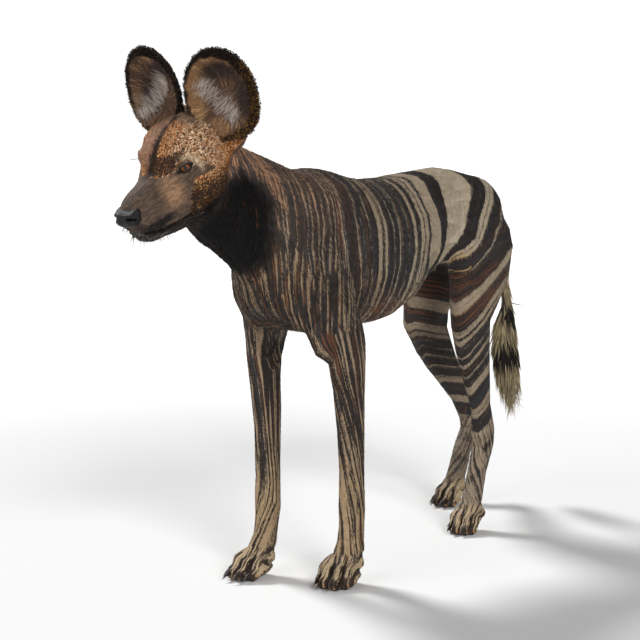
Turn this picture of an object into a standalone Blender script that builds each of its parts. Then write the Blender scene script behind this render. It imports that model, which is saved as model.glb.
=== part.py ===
"""African wild dog (Lycaon pictus), an adult standing still, life size.

The dog faces -Y, its left side is +X and it stands on z = 0. The flesh is
modelled whole, from lofted limbs and muscle masses that are joined by a voxel
remesh, and is then parted into named nodes by thin plane cuts. Its surface is
the outline of the coat, out to the tips of the hair.
"""

import math

import bmesh
import bpy
from mathutils import Matrix, Vector

# Driving dimensions, metres
WITHERS = 0.700
CUT_GAP = 0.0003
FINE_VOXEL = 0.0038
SMOOTH_ALL = 7
SMOOTH_TRUNK = 80
TRUNK_BAND = (0.40, 0.47)
NAPE_BAND = (-0.435, -0.475)
RING_SIDES = 32
EYE_RADIUS = 0.0122
EYE_FRONT = (0.0005, 0.0445, -0.0010)
EYE_GAZE = (0.669, 0.741, 0.050)
LID_SLANT = 12.0
LID_OPENING = (0.0132, 0.0082, 0.0060)
EAR_WIDTH = 0.125
EAR_HEIGHT = 0.147
EAR_LOW_FLARE = 0.236
EAR_DEPTH = 0.029
EAR_THICKNESS = 0.0050
EAR_CENTRE = (-0.0885, 0.0690, 0.0783)
EAR_FACES_OUT = {"left": 13.6, "right": 8.0}
EAR_LEANS_BACK = 6.9
EAR_LEANS_OUT = 2.6
EAR_MOUTH = 0.004
EAR_SEAT_SPREAD = 0.012
EAR_SPOKES = 20
EAR_RINGS = (0.0, 0.42, 0.76, 1.0)
CLAW_LENGTH = 0.0150
CLAW_RADIUS = 0.0031
CLAW_BEND = math.radians(50.0)
CLAW_RINGS = 4
CLAW_SIDES = 5
CLAW_HEIGHT = 0.0128
TOE_RADIUS = 0.0110
TOE_TIP_HEIGHT = 0.0120
TOE_KNUCKLE_HEIGHT = 0.0265
LEG_INNER_X = 0.004
NOSTRIL_PLACE = (0.1115, 0.0098, -0.0370)
NOSTRIL_RADII = (0.0032, 0.0038, 0.0032)

# The head's own frame: origin midway between the eyes, axes forward, left, up
HEAD_ORIGIN = Vector((-0.042, -0.553, 0.705))
HEAD_YAW = math.radians(-4.0)
HEAD_PITCH = math.radians(-25.5)
HEAD_ROLL = math.radians(-2.9)

# Sections of the trunk from chest to rump: y, half width, top z, bottom z
TRUNK_SECTIONS = (
    (-0.354, 0.042, 0.600, 0.505),
    (-0.337, 0.062, 0.650, 0.472),
    (-0.302, 0.076, 0.687, 0.446),
    (-0.250, 0.082, 0.703, 0.432),
    (-0.190, 0.086, 0.699, 0.424),
    (-0.130, 0.089, 0.686, 0.420),
    (-0.070, 0.091, 0.679, 0.418),
    (-0.010, 0.091, 0.680, 0.421),
    (0.045, 0.088, 0.683, 0.438),
    (0.095, 0.080, 0.688, 0.466),
    (0.145, 0.074, 0.693, 0.494),
    (0.200, 0.073, 0.696, 0.512),
    (0.260, 0.076, 0.690, 0.516),
    (0.320, 0.076, 0.675, 0.508),
    (0.370, 0.066, 0.652, 0.502),
    (0.405, 0.050, 0.620, 0.505),
    (0.428, 0.028, 0.586, 0.525),
)

# Sections of the neck from skull to shoulders: x, y, z, half width, up, down
NECK_SECTIONS = (
    (-0.037, -0.480, 0.700, 0.052, 0.066, 0.078),
    (-0.030, -0.440, 0.672, 0.060, 0.082, 0.092),
    (-0.022, -0.400, 0.648, 0.066, 0.092, 0.097),
    (-0.012, -0.350, 0.622, 0.072, 0.098, 0.104),
    (-0.004, -0.300, 0.598, 0.078, 0.104, 0.112),
    (0.000, -0.250, 0.575, 0.078, 0.108, 0.112),
)

# Sections of the head in its own frame: forward, middle up, half width, up, down
HEAD_SECTIONS = (
    (-0.128, -0.020, 0.036, 0.034, 0.040),
    (-0.110, -0.018, 0.050, 0.055, 0.062),
    (-0.085, -0.018, 0.060, 0.068, 0.076),
    (-0.058, -0.022, 0.066, 0.077, 0.081),
    (-0.032, -0.026, 0.066, 0.077, 0.080),
    (-0.010, -0.030, 0.0565, 0.072, 0.076),
    (0.010, -0.034, 0.0480, 0.059, 0.070),
    (0.028, -0.038, 0.0410, 0.042, 0.063),
    (0.046, -0.040, 0.0365, 0.037, 0.057),
    (0.066, -0.041, 0.0335, 0.036, 0.053),
    (0.080, -0.041, 0.0310, 0.032, 0.048),
    (0.088, -0.041, 0.0275, 0.029, 0.042),
    (0.095, -0.037, 0.0225, 0.022, 0.024),
    (0.102, -0.034, 0.0160, 0.017, 0.015),
)

# Sections of the nose pad in the head's frame, measured like those of the head
NOSE_SECTIONS = (
    (0.0940, -0.033, 0.0150, 0.0140, 0.0150),
    (0.1010, -0.033, 0.0175, 0.0140, 0.0165),
    (0.1070, -0.034, 0.0170, 0.0125, 0.0155),
    (0.1115, -0.035, 0.0135, 0.0100, 0.0120),
    (0.1135, -0.036, 0.0080, 0.0060, 0.0075),
)

# Round masses of the head in its own frame: centre, radii (mirrored to the right)
HEAD_MASSES = {
    "brow": ((-0.014, 0.0290, 0.0175), (0.028, 0.0150, 0.0135)),
    "cheek": ((-0.040, 0.042, -0.048), (0.042, 0.027, 0.036)),
    "temple": ((-0.052, 0.032, 0.018), (0.046, 0.027, 0.027)),
    "ear_root": ((-0.113, 0.052, 0.010), (0.028, 0.028, 0.040)),
    "nape": ((-0.124, 0.022, 0.008), (0.036, 0.032, 0.036)),
    "upper_lip": ((0.058, 0.0225, -0.046), (0.036, 0.0125, 0.014)),
    "chin": ((0.072, 0.006, -0.0775), (0.018, 0.014, 0.0120)),
}

# Muscle masses of the body: centre, radii, turn about X in degrees (mirrored)
BODY_MASSES = {
    "shoulder_blade": ((0.048, -0.230, 0.580), (0.041, 0.062, 0.104), -14.0),
    "shoulder_point": ((0.047, -0.300, 0.508), (0.042, 0.060, 0.082), 20.0),
    "upper_arm": ((0.063, -0.250, 0.455), (0.033, 0.064, 0.080), 8.0),
    "elbow": ((0.073, -0.190, 0.404), (0.017, 0.022, 0.026), 0.0),
    "breast": ((0.016, -0.334, 0.516), (0.044, 0.044, 0.066), 10.0),
    "loin_muscle": ((0.030, 0.110, 0.645), (0.034, 0.130, 0.040), 0.0),
    "croup": ((0.042, 0.270, 0.618), (0.044, 0.110, 0.062), -8.0),
}

# Sections of a foreleg: place between its joints, half width, fore, aft
FORELEG_SECTIONS = (
    (0.00, 0.024, 0.046, 0.042),
    (0.45, 0.031, 0.054, 0.053),
    (1.00, 0.0275, 0.041, 0.047),
    (1.20, 0.0250, 0.0325, 0.037),
    (1.45, 0.0220, 0.0280, 0.0300),
    (1.70, 0.0206, 0.0254, 0.0260),
    (1.88, 0.0216, 0.0256, 0.0240),
    (2.00, 0.0230, 0.0268, 0.0256),
    (2.15, 0.0212, 0.0236, 0.0250),
    (2.50, 0.0194, 0.0212, 0.0216),
    (2.80, 0.0205, 0.0215, 0.0225),
    (3.00, 0.0230, 0.0220, 0.0225),
)

# Joints of each foreleg: upper arm, elbow, wrist, knuckles
FORELEG_JOINTS = {
    "left": (
        (0.058, -0.240, 0.470), (0.074, -0.221, 0.380),
        (0.076, -0.206, 0.126), (0.071, -0.225, 0.034),
    ),
    "right": (
        (-0.058, -0.255, 0.470), (-0.075, -0.244, 0.380),
        (-0.077, -0.236, 0.123), (-0.085, -0.269, 0.034),
    ),
}

# Sections of a hind leg: place between its joints, half width, fore, aft
HINDLEG_SECTIONS = (
    (0.00, 0.036, 0.105, 0.120),
    (0.50, 0.042, 0.120, 0.136),
    (1.00, 0.045, 0.108, 0.118),
    (1.50, 0.040, 0.077, 0.091),
    (2.00, 0.033, 0.056, 0.054),
    (2.25, 0.0280, 0.050, 0.048),
    (2.50, 0.0225, 0.039, 0.039),
    (2.75, 0.0172, 0.0262, 0.0282),
    (3.00, 0.0196, 0.0250, 0.0360),
    (3.30, 0.0195, 0.0240, 0.0270),
    (4.00, 0.0186, 0.0222, 0.0228),
    (4.60, 0.0196, 0.0218, 0.0224),
    (5.00, 0.0220, 0.0220, 0.0226),
)

# Joints of each hind leg: hip, mid thigh, stifle, hock, mid shank, knuckles
HINDLEG_JOINTS = {
    "left": (
        (0.050, 0.285, 0.600), (0.058, 0.268, 0.510), (0.067, 0.229, 0.400),
        (0.069, 0.280, 0.186), (0.072, 0.252, 0.110), (0.074, 0.219, 0.036),
    ),
    "right": (
        (-0.050, 0.292, 0.600), (-0.058, 0.320, 0.500), (-0.075, 0.290, 0.400),
        (-0.067, 0.474, 0.178), (-0.064, 0.444, 0.106), (-0.062, 0.404, 0.036),
    ),
}

# Paws: middle on the floor x, y, turn outwards in degrees, size
PAWS = {
    "paw_fore_left": (0.070, -0.240, 6.0, 1.00),
    "paw_fore_right": (-0.088, -0.283, 8.0, 1.00),
    "paw_hind_left": (0.075, 0.203, 6.0, 0.93),
    "paw_hind_right": (-0.061, 0.386, 6.0, 0.93),
}

# Sections of the tail from root to brush tip: y, z, half width, half depth
TAIL_SECTIONS = (
    (0.405, 0.618, 0.018, 0.018),
    (0.440, 0.588, 0.022, 0.021),
    (0.466, 0.545, 0.0190, 0.0180),
    (0.481, 0.490, 0.0180, 0.0180),
    (0.492, 0.430, 0.0195, 0.0205),
    (0.500, 0.370, 0.0245, 0.0260),
    (0.509, 0.310, 0.0285, 0.0310),
    (0.519, 0.262, 0.0270, 0.0300),
    (0.531, 0.228, 0.0190, 0.0210),
    (0.541, 0.200, 0.006, 0.007),
)

# Thin cuts: place and direction of each plane
NECK_CUT = (Vector((0.0, -0.335, 0.630)), Vector((0.0, 0.86, -0.50)))
HEAD_CUT = (Vector((-0.036, -0.468, 0.700)), Vector((0.08, 0.94, -0.34)))
TRUNK_CUT_Y = 0.060
TAIL_CUT_X = 0.036
TAIL_CUT_Y = 0.443
ARM_ROOF = (0.030, 0.388, 1.5)
THIGH_ROOF = (0.014, 0.462, 1.3)
WRIST_CUT_Z = 0.142
HOCK_CUT_Z = 0.215
PAW_CUT_Z = 0.046
JAW_HINGE = 0.004
MOUTH_FRONT = Vector((0.112, 0.0, -0.0590))
MOUTH_CORNER = Vector((0.006, 0.0, -0.0745))
MOUTH_GAP = 0.0016

# Share of the fine mesh that each group of nodes keeps
KEEP_HEAD = 0.051
KEEP_TRUNK = 0.0125
KEEP_LEG = 0.016
KEEP_PAW = 0.0245

COLOURS = {
    "coat_dark": ((0.036, 0.029, 0.026), 0.85),
    "coat_grey": ((0.110, 0.088, 0.070), 0.85),
    "coat_ochre": ((0.330, 0.180, 0.075), 0.85),
    "coat_tan": ((0.350, 0.260, 0.170), 0.85),
    "nose_leather": ((0.020, 0.017, 0.016), 0.35),
    "eye_amber": ((0.250, 0.085, 0.020), 0.10),
    "claw_horn": ((0.022, 0.017, 0.014), 0.45),
}


def clear_scene():
    for obj in list(bpy.data.objects):
        bpy.data.objects.remove(obj, do_unlink=True)


def material(name):
    found = bpy.data.materials.get(name)
    if found:
        return found
    colour, roughness = COLOURS[name]
    made = bpy.data.materials.new(name)
    made.use_nodes = True
    shader = made.node_tree.nodes["Principled BSDF"]
    shader.inputs["Base Color"].default_value = (*colour, 1.0)
    shader.inputs["Roughness"].default_value = roughness
    shader.inputs["Metallic"].default_value = 0.0
    return made


def add_object(name, bm, finish):
    mesh = bpy.data.meshes.new(name)
    bmesh.ops.recalc_face_normals(bm, faces=bm.faces)
    bm.to_mesh(mesh)
    bm.free()
    for face in mesh.polygons:
        face.use_smooth = True
    obj = bpy.data.objects.new(name, mesh)
    bpy.context.collection.objects.link(obj)
    mesh.materials.append(material(finish))
    return obj


def head_matrix():
    """The head's frame in the world: columns forward, left, up and origin."""
    forward = Vector((0.0, -1.0, 0.0))
    left = Vector((1.0, 0.0, 0.0))
    up = Vector((0.0, 0.0, 1.0))
    turn_f = math.cos(HEAD_YAW) * forward + math.sin(HEAD_YAW) * left
    turn_l = math.cos(HEAD_YAW) * left - math.sin(HEAD_YAW) * forward
    axis_f = math.cos(HEAD_PITCH) * turn_f + math.sin(HEAD_PITCH) * up
    tilt_u = math.cos(HEAD_PITCH) * up - math.sin(HEAD_PITCH) * turn_f
    axis_l = math.cos(HEAD_ROLL) * turn_l + math.sin(HEAD_ROLL) * tilt_u
    axis_u = math.cos(HEAD_ROLL) * tilt_u - math.sin(HEAD_ROLL) * turn_l
    rows = Matrix((axis_f, axis_l, axis_u)).transposed()
    return Matrix.Translation(HEAD_ORIGIN) @ rows.to_4x4()


def loft(bm, rings, frame=Matrix()):
    """Skin closed rings of points, given in a frame, into one capped tube."""
    loops = [[bm.verts.new(frame @ point) for point in ring] for ring in rings]
    for near, far in zip(loops, loops[1:]):
        count = len(near)
        for i in range(count):
            j = (i + 1) % count
            bm.faces.new((near[i], near[j], far[j], far[i]))
    bm.faces.new(reversed(loops[0]))
    bm.faces.new(loops[-1])


def oval(centre, side, rise, half_width, up, down):
    """One ring: an oval whose upper and lower halves differ in height."""
    ring = []
    for i in range(RING_SIDES):
        angle = 2.0 * math.pi * i / RING_SIDES
        height = math.sin(angle) * (up if math.sin(angle) > 0.0 else down)
        ring.append(centre + side * (half_width * math.cos(angle)) + rise * height)
    return ring


def along(points, place):
    """A point on the smooth curve through points, with place counted in points."""
    last = len(points) - 1
    i = min(int(place), last - 1)
    t = place - i
    p1 = Vector(points[i])
    p2 = Vector(points[i + 1])
    p0 = Vector(points[i - 1]) if i > 0 else 2.0 * p1 - p2
    p3 = Vector(points[i + 2]) if i + 2 <= last else 2.0 * p2 - p1
    return 0.5 * (
        2.0 * p1 + (p2 - p0) * t
        + (2.0 * p0 - 5.0 * p1 + 4.0 * p2 - p3) * t ** 2
        + (3.0 * p1 - p0 - 3.0 * p2 + p3) * t ** 3
    )


def ellipsoid(bm, centre, radii, frame=Matrix(), divisions=3):
    """A round mass in a frame: an icosphere stretched to its radii."""
    shape = Matrix.Translation(centre) @ Matrix.Diagonal((*radii, 1.0))
    bmesh.ops.create_icosphere(bm, subdivisions=divisions, radius=1.0, matrix=frame @ shape)


def add_trunk(bm):
    side = Vector((1.0, 0.0, 0.0))
    rise = Vector((0.0, 0.0, 1.0))
    rings = []
    for y, half_width, top, bottom in TRUNK_SECTIONS:
        middle = bottom + 0.53 * (top - bottom)
        rings.append(oval(Vector((0.0, y, middle)), side, rise, half_width, top - middle, middle - bottom))
    loft(bm, rings)


def add_neck(bm):
    side = Vector((1.0, 0.0, 0.0))
    points = [Vector(row[:3]) for row in NECK_SECTIONS]
    rings = []
    for i, row in enumerate(NECK_SECTIONS):
        tangent = points[min(i + 1, len(points) - 1)] - points[max(i - 1, 0)]
        rise = side.cross(tangent).normalized()
        rings.append(oval(points[i], side, rise, *row[3:]))
    loft(bm, rings)


def add_head(bm):
    frame = head_matrix()
    side = Vector((0.0, 1.0, 0.0))
    rise = Vector((0.0, 0.0, 1.0))
    rings = []
    for forward, middle, half_width, up, down in HEAD_SECTIONS:
        rings.append(oval(Vector((forward, 0.0, middle)), side, rise, half_width, up, down))
    loft(bm, rings, frame)
    for centre, radii in HEAD_MASSES.values():
        for sign in (1.0, -1.0):
            ellipsoid(bm, Vector((centre[0], sign * centre[1], centre[2])), radii, frame)


def add_body_masses(bm):
    for centre, radii, degrees in BODY_MASSES.values():
        turn = Matrix.Rotation(math.radians(degrees), 4, "X")
        for sign in (1.0, -1.0):
            place = Matrix.Translation((sign * centre[0], centre[1], centre[2]))
            ellipsoid(bm, Vector((0.0, 0.0, 0.0)), radii, place @ turn)


def add_leg(bm, joints, sections):
    """A leg: ovals across the curve through its joints, wider fore and aft."""
    side = Vector((1.0, 0.0, 0.0))
    top = len(joints) - 1
    rings = []
    for place, half_width, fore, aft in sections:
        centre = along(joints, place)
        tangent = along(joints, min(place + 0.1, top)) - along(joints, max(place - 0.1, 0.0))
        ahead = tangent.cross(side).normalized()
        if ahead.y > 0.0:
            ahead.negate()
        rings.append(oval(centre, side, ahead, half_width, fore, aft))
    loft(bm, rings)


def add_tail(bm):
    side = Vector((1.0, 0.0, 0.0))
    points = [Vector((0.0, row[0], row[1])) for row in TAIL_SECTIONS]
    rings = []
    for i, row in enumerate(TAIL_SECTIONS):
        tangent = points[min(i + 1, len(points) - 1)] - points[max(i - 1, 0)]
        rise = side.cross(tangent).normalized()
        rings.append(oval(points[i], side, rise, row[2], row[3], row[3]))
    loft(bm, rings)


def toes(size):
    """Each toe of a paw: across, tip forward, knuckle forward, radius."""
    inner = (0.0105 * size, 0.0335 * size, 0.0120 * size, TOE_RADIUS * size)
    outer = (0.0235 * size, 0.0190 * size, 0.0000, 0.96 * TOE_RADIUS * size)
    return [(sign * across, tip, knuckle, radius)
            for across, tip, knuckle, radius in (inner, outer) for sign in (1.0, -1.0)]


def paw_matrix(name):
    x, y, outward, size = PAWS[name]
    sign = 1.0 if x > 0.0 else -1.0
    turn = Matrix.Rotation(math.radians(sign * outward), 4, "Z")
    return Matrix.Translation((x, y, 0.0)) @ turn, size


def add_paw(bm, name):
    """A paw in its own frame, forward along -Y, with arched toes and pads."""
    frame, size = paw_matrix(name)
    for across, tip, knuckle, radius in toes(size):
        rings = []
        arch = ((knuckle - 0.026 * size, 0.036 * size, 1.05), (knuckle - 0.010 * size, 0.0335 * size, 1.05),
                (knuckle + 0.002 * size, TOE_KNUCKLE_HEIGHT * size, 1.08), (tip, TOE_TIP_HEIGHT * size, 1.04))
        for forward, height, share in arch:
            centre = Vector((across, -forward, height))
            ellipsoid(bm, centre, (radius * share * 0.94, radius * share * 1.12, radius * share), frame, 2)
        for step in range(5):
            blend = step / 4.0
            forward = knuckle + (tip - knuckle) * blend
            height = size * (TOE_KNUCKLE_HEIGHT + (TOE_TIP_HEIGHT - TOE_KNUCKLE_HEIGHT) * blend)
            centre = Vector((across, -forward, height))
            rings.append(oval(centre, Vector((1.0, 0.0, 0.0)), Vector((0.0, 0.35, 0.94)),
                              radius * 0.96, radius * 0.98, radius * 0.98))
        loft(bm, rings, frame)
        pad = (radius * 0.80, radius * 1.05, 0.0072 * size)
        ellipsoid(bm, Vector((across, -tip, 0.0062 * size)), pad, frame, 2)
    ellipsoid(bm, Vector((0.0, 0.014 * size, 0.0095 * size)),
              (0.0215 * size, 0.0180 * size, 0.0110 * size), frame, 2)
    ellipsoid(bm, Vector((0.0, 0.008 * size, 0.026 * size)),
              (0.0250 * size, 0.0240 * size, 0.0190 * size), frame, 2)


def fine_flesh():
    """Join every mass by a voxel remesh, smooth it and return the mesh."""
    bm = bmesh.new()
    add_trunk(bm)
    add_neck(bm)
    add_head(bm)
    add_body_masses(bm)
    for side in ("left", "right"):
        add_leg(bm, FORELEG_JOINTS[side], FORELEG_SECTIONS)
        add_leg(bm, HINDLEG_JOINTS[side], HINDLEG_SECTIONS)
    for name in PAWS:
        add_paw(bm, name)
    add_tail(bm)
    masses = add_object("masses", bm, "coat_grey")
    remesh = masses.modifiers.new("join", "REMESH")
    remesh.mode = "VOXEL"
    remesh.voxel_size = FINE_VOXEL
    flesh = bpy.data.objects.new("flesh", evaluated(masses))
    bpy.context.collection.objects.link(flesh)
    bpy.data.objects.remove(masses, do_unlink=True)
    trunk = flesh.vertex_groups.new(name="trunk")
    for vert in flesh.data.vertices:
        above_legs = band(vert.co.z, *TRUNK_BAND)
        behind_head = 1.0 - band(-vert.co.y, -NAPE_BAND[0], -NAPE_BAND[1])
        trunk.add([vert.index], above_legs * behind_head, "REPLACE")
    for group, rounds in (("", SMOOTH_ALL), ("trunk", SMOOTH_TRUNK)):
        smooth = flesh.modifiers.new("soften", "SMOOTH")
        smooth.factor = 0.5
        smooth.iterations = rounds
        smooth.vertex_group = group
    return flesh


def band(value, low, high):
    """Nought below a band, one above it, and a smooth ramp between."""
    share = min(1.0, max(0.0, (value - low) / (high - low)))
    return share * share * (3.0 - 2.0 * share)


def evaluated(obj):
    """A new mesh of the object with its modifiers applied."""
    depsgraph = bpy.context.evaluated_depsgraph_get()
    depsgraph.update()
    return bpy.data.meshes.new_from_object(obj.evaluated_get(depsgraph))


def thinned(flesh, share):
    """A bmesh of the flesh with only a share of its triangles, flat underfoot."""
    thin = flesh.modifiers.new("thin", "DECIMATE")
    thin.ratio = share
    mesh = evaluated(flesh)
    flesh.modifiers.remove(thin)
    bm = bmesh.new()
    bm.from_mesh(mesh)
    bpy.data.meshes.remove(mesh)
    cut(bm, Vector((0.0, 0.0, 0.0)), Vector((0.0, 0.0, -1.0)), 0.0)
    return bm


def cut(bm, place, direction, gap=0.5 * CUT_GAP):
    """Remove what lies beyond a plane, half a gap short of it, and cap the cut."""
    outward = direction.normalized()
    geometry = bm.verts[:] + bm.edges[:] + bm.faces[:]
    bmesh.ops.bisect_plane(
        bm, geom=geometry, dist=0.000001, plane_co=place - outward * gap, plane_no=outward, clear_outer=True
    )
    rim = [edge for edge in bm.edges if edge.is_boundary]
    if rim:
        bmesh.ops.holes_fill(bm, edges=rim, sides=0)


def keep_largest(bm):
    """Delete every island of the mesh but the one with the most corners."""
    left = set(bm.verts)
    islands = []
    while left:
        stack = [left.pop()]
        island = list(stack)
        while stack:
            vert = stack.pop()
            for edge in vert.link_edges:
                other = edge.other_vert(vert)
                if other in left:
                    left.remove(other)
                    stack.append(other)
                    island.append(other)
        islands.append(island)
    islands.sort(key=len, reverse=True)
    for island in islands[1:]:
        bmesh.ops.delete(bm, geom=island, context="VERTS")


def node(name, source, planes, finish):
    """Cut one named node out of a thinned copy of the flesh."""
    bm = source.copy()
    for place, direction in planes:
        cut(bm, place, direction)
    keep_largest(bm)
    bmesh.ops.dissolve_degenerate(bm, dist=0.00002, edges=bm.edges[:])
    bmesh.ops.triangulate(bm, faces=bm.faces[:])
    return add_object(name, bm, finish)


def roof(side, slope):
    """The slanting plane that parts a leg from the trunk, facing upwards."""
    across, height, rate = slope
    sign = 1.0 if side == "left" else -1.0
    return Vector((sign * across, 0.0, height)), Vector((-sign * rate, 0.0, 1.0))


def flipped(plane):
    return plane[0], -plane[1]


def level(z):
    return Vector((0.0, 0.0, z)), Vector((0.0, 0.0, 1.0))


def mouth_planes(frame):
    """The planes over and under the parted mouth, and the one behind the jaw."""
    slope = (MOUTH_FRONT - MOUTH_CORNER).normalized()
    normal = Vector((-slope.z, 0.0, slope.x))
    turn = frame.to_3x3()
    over = (frame @ (MOUTH_CORNER + normal * 0.5 * MOUTH_GAP), turn @ normal)
    under = (frame @ (MOUTH_CORNER - normal * 0.5 * MOUTH_GAP), turn @ normal)
    hinge = (frame @ Vector((JAW_HINGE, 0.0, 0.0)), turn @ Vector((1.0, 0.0, 0.0)))
    return over, under, hinge


def add_head_nodes(flesh):
    frame = head_matrix()
    over, under, hinge = mouth_planes(frame)
    source = thinned(flesh, KEEP_HEAD)
    head = node("head", source, [HEAD_CUT], "coat_ochre")
    jaw = node("jaw", source, [HEAD_CUT, under, flipped(hinge)], "coat_dark")
    source.free()
    block = wedge_cutter(over, hinge)
    carve(head, block, "DIFFERENCE")
    return head, jaw


def wedge_cutter(over, hinge):
    """The solid below the mouth and before the hinge, taken out of the head."""
    bm = bmesh.new()
    bmesh.ops.create_cube(bm, size=0.6, matrix=Matrix.Translation(hinge[0]))
    cut(bm, over[0], over[1], -0.5 * CUT_GAP)
    cut(bm, hinge[0], -hinge[1], -0.5 * CUT_GAP)
    return add_cutter("mouth_cutter", bm)


def add_cutter(name, bm):
    obj = add_object(name, bm, "coat_dark")
    obj.hide_render = True
    obj.display_type = "WIRE"
    return obj


def carve(obj, cutter, operation):
    """Apply one Boolean and drop the cutter."""
    boolean = obj.modifiers.new("carve", "BOOLEAN")
    boolean.operation = operation
    boolean.solver = "EXACT"
    boolean.object = cutter
    mesh = evaluated(obj)
    obj.modifiers.clear()
    bm = bmesh.new()
    bm.from_mesh(mesh)
    keep_largest(bm)
    bmesh.ops.triangulate(bm, faces=bm.faces[:])
    bmesh.ops.dissolve_degenerate(bm, dist=0.00002, edges=bm.edges[:])
    bmesh.ops.triangulate(bm, faces=bm.faces[:])
    bm.to_mesh(obj.data)
    bm.free()
    bpy.data.meshes.remove(mesh)
    for face in obj.data.polygons:
        face.use_smooth = True
    bpy.data.objects.remove(cutter, do_unlink=True)


def swollen(obj, amount):
    """A cutter that is the object moved outwards by the gap between neighbours."""
    bm = bmesh.new()
    bm.from_mesh(obj.data)
    bm.normal_update()
    moves = [(vert, vert.normal * amount) for vert in bm.verts]
    for vert, move in moves:
        vert.co += move
    return add_cutter(obj.name + "_cutter", bm)


def eye_frame(sign):
    """The eye's frame in the world, at its front: along the lids, up and out."""
    gaze = Vector((EYE_GAZE[0], sign * EYE_GAZE[1], EYE_GAZE[2])).normalized()
    back = Vector((-gaze.y * sign, gaze.x * sign, 0.0)).normalized()
    rise = gaze.cross(back).normalized()
    if rise.z < 0.0:
        rise.negate()
    slant = math.radians(LID_SLANT)
    lid = back * math.cos(slant) + rise * math.sin(slant)
    up = rise * math.cos(slant) - back * math.sin(slant)
    place = Matrix.Translation((EYE_FRONT[0], sign * EYE_FRONT[1], EYE_FRONT[2]))
    return head_matrix() @ place @ Matrix((lid, up, gaze)).transposed().to_4x4()


def add_eyes(head):
    for side, sign in (("left", 1.0), ("right", -1.0)):
        frame = eye_frame(sign)
        centre = Matrix.Translation(frame @ Vector((0.0, 0.0, -EYE_RADIUS)))
        opening = bmesh.new()
        ellipsoid(opening, Vector((0.0, 0.0, 0.0)), LID_OPENING, frame, 2)
        carve(head, add_cutter("opening_cutter", opening), "DIFFERENCE")
        socket = bmesh.new()
        bmesh.ops.create_uvsphere(socket, u_segments=12, v_segments=6, radius=EYE_RADIUS + 3.0 * CUT_GAP,
                                  matrix=centre)
        carve(head, add_cutter("socket_cutter", socket), "DIFFERENCE")
        ball = bmesh.new()
        bmesh.ops.create_uvsphere(ball, u_segments=14, v_segments=8, radius=EYE_RADIUS, matrix=centre)
        add_object("eye_" + side, ball, "eye_amber")


def add_nose(head):
    """The leather of the nose: a rounded block with two nostrils."""
    frame = head_matrix()
    bm = bmesh.new()
    side = Vector((0.0, 1.0, 0.0))
    rise = Vector((0.0, 0.0, 1.0))
    rings = []
    for forward, middle, half_width, up, down in NOSE_SECTIONS:
        rings.append(oval(Vector((forward, 0.0, middle)), side, rise, half_width, up, down)[::3])
    loft(bm, rings)
    bmesh.ops.triangulate(bm, faces=bm.faces[:])
    bmesh.ops.transform(bm, matrix=frame, verts=bm.verts[:])
    nose = add_object("nose", bm, "nose_leather")
    for sign in (1.0, -1.0):
        nostril = bmesh.new()
        place = Vector((NOSTRIL_PLACE[0], sign * NOSTRIL_PLACE[1], NOSTRIL_PLACE[2]))
        ellipsoid(nostril, frame @ place, NOSTRIL_RADII, Matrix(), 1)
        carve(nose, add_cutter("nostril_cutter", nostril), "DIFFERENCE")
    carve(nose, swollen(head, CUT_GAP), "DIFFERENCE")
    return nose


def ear_outline(turn):
    """Half extents of the ear's rim across and up, for a direction round it."""
    across = math.cos(turn)
    height = math.sin(turn)
    flare = 1.0 + EAR_LOW_FLARE * max(0.0, -height) ** 1.5
    return Vector((0.5 * EAR_WIDTH * across * flare, 0.5 * EAR_HEIGHT * height))


def ear_frame(side, sign):
    """An ear's frame in the world: across, up, ahead, at the middle of its rim."""
    face_out = math.radians(EAR_FACES_OUT[side])
    lean_back = math.radians(EAR_LEANS_BACK)
    lean_out = math.radians(EAR_LEANS_OUT)
    upright = Vector((0.0, 0.0, 1.0))
    facing = Vector((math.cos(face_out), sign * math.sin(face_out), 0.0))
    across = Vector((-math.sin(face_out), sign * math.cos(face_out), 0.0))
    high = upright * math.cos(lean_back) - facing * math.sin(lean_back)
    ahead = facing * math.cos(lean_back) + upright * math.sin(lean_back)
    up = high * math.cos(lean_out) + across * math.sin(lean_out)
    wide = across * math.cos(lean_out) - high * math.sin(lean_out)
    place = Matrix.Translation((EAR_CENTRE[0], sign * EAR_CENTRE[1], EAR_CENTRE[2]))
    return head_matrix() @ place @ Matrix((wide, up, ahead)).transposed().to_4x4()


def ear_sheet(bm, frame, sink, spread):
    """One side of an ear, as rings of points round a hub, sunk behind its rim."""
    rows = []
    for share in EAR_RINGS:
        row = []
        for spoke in range(1 if share == 0.0 else EAR_SPOKES):
            turn = 2.0 * math.pi * spoke / EAR_SPOKES
            flat = ear_outline(turn) * (share + spread)
            point = Vector((flat.x, flat.y, -sink(share)))
            row.append(bm.verts.new(frame @ point))
        rows.append(row)
    for spoke in range(EAR_SPOKES):
        after = (spoke + 1) % EAR_SPOKES
        bm.faces.new((rows[0][0], rows[1][spoke], rows[1][after]))
        for near, far in zip(rows[1:], rows[2:]):
            bm.faces.new((near[spoke], far[spoke], far[after], near[after]))
    return rows[-1]


def ear_cup(share):
    """How far the cup's inner side lies behind the plane of the rim."""
    return EAR_DEPTH * (1.0 - share ** 2.2)


def ear_back(share):
    return ear_cup(share) + EAR_THICKNESS * (1.0 - 0.45 * share ** 4)


def ear_solid(frame, front, back, spread):
    bm = bmesh.new()
    near = ear_sheet(bm, frame, front, spread)
    far = ear_sheet(bm, frame, back, spread - 0.010)
    for spoke in range(EAR_SPOKES):
        after = (spoke + 1) % EAR_SPOKES
        bm.faces.new((near[spoke], far[spoke], far[after], near[after]))
    bmesh.ops.triangulate(bm, faces=bm.faces[:])
    return bm


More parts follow.
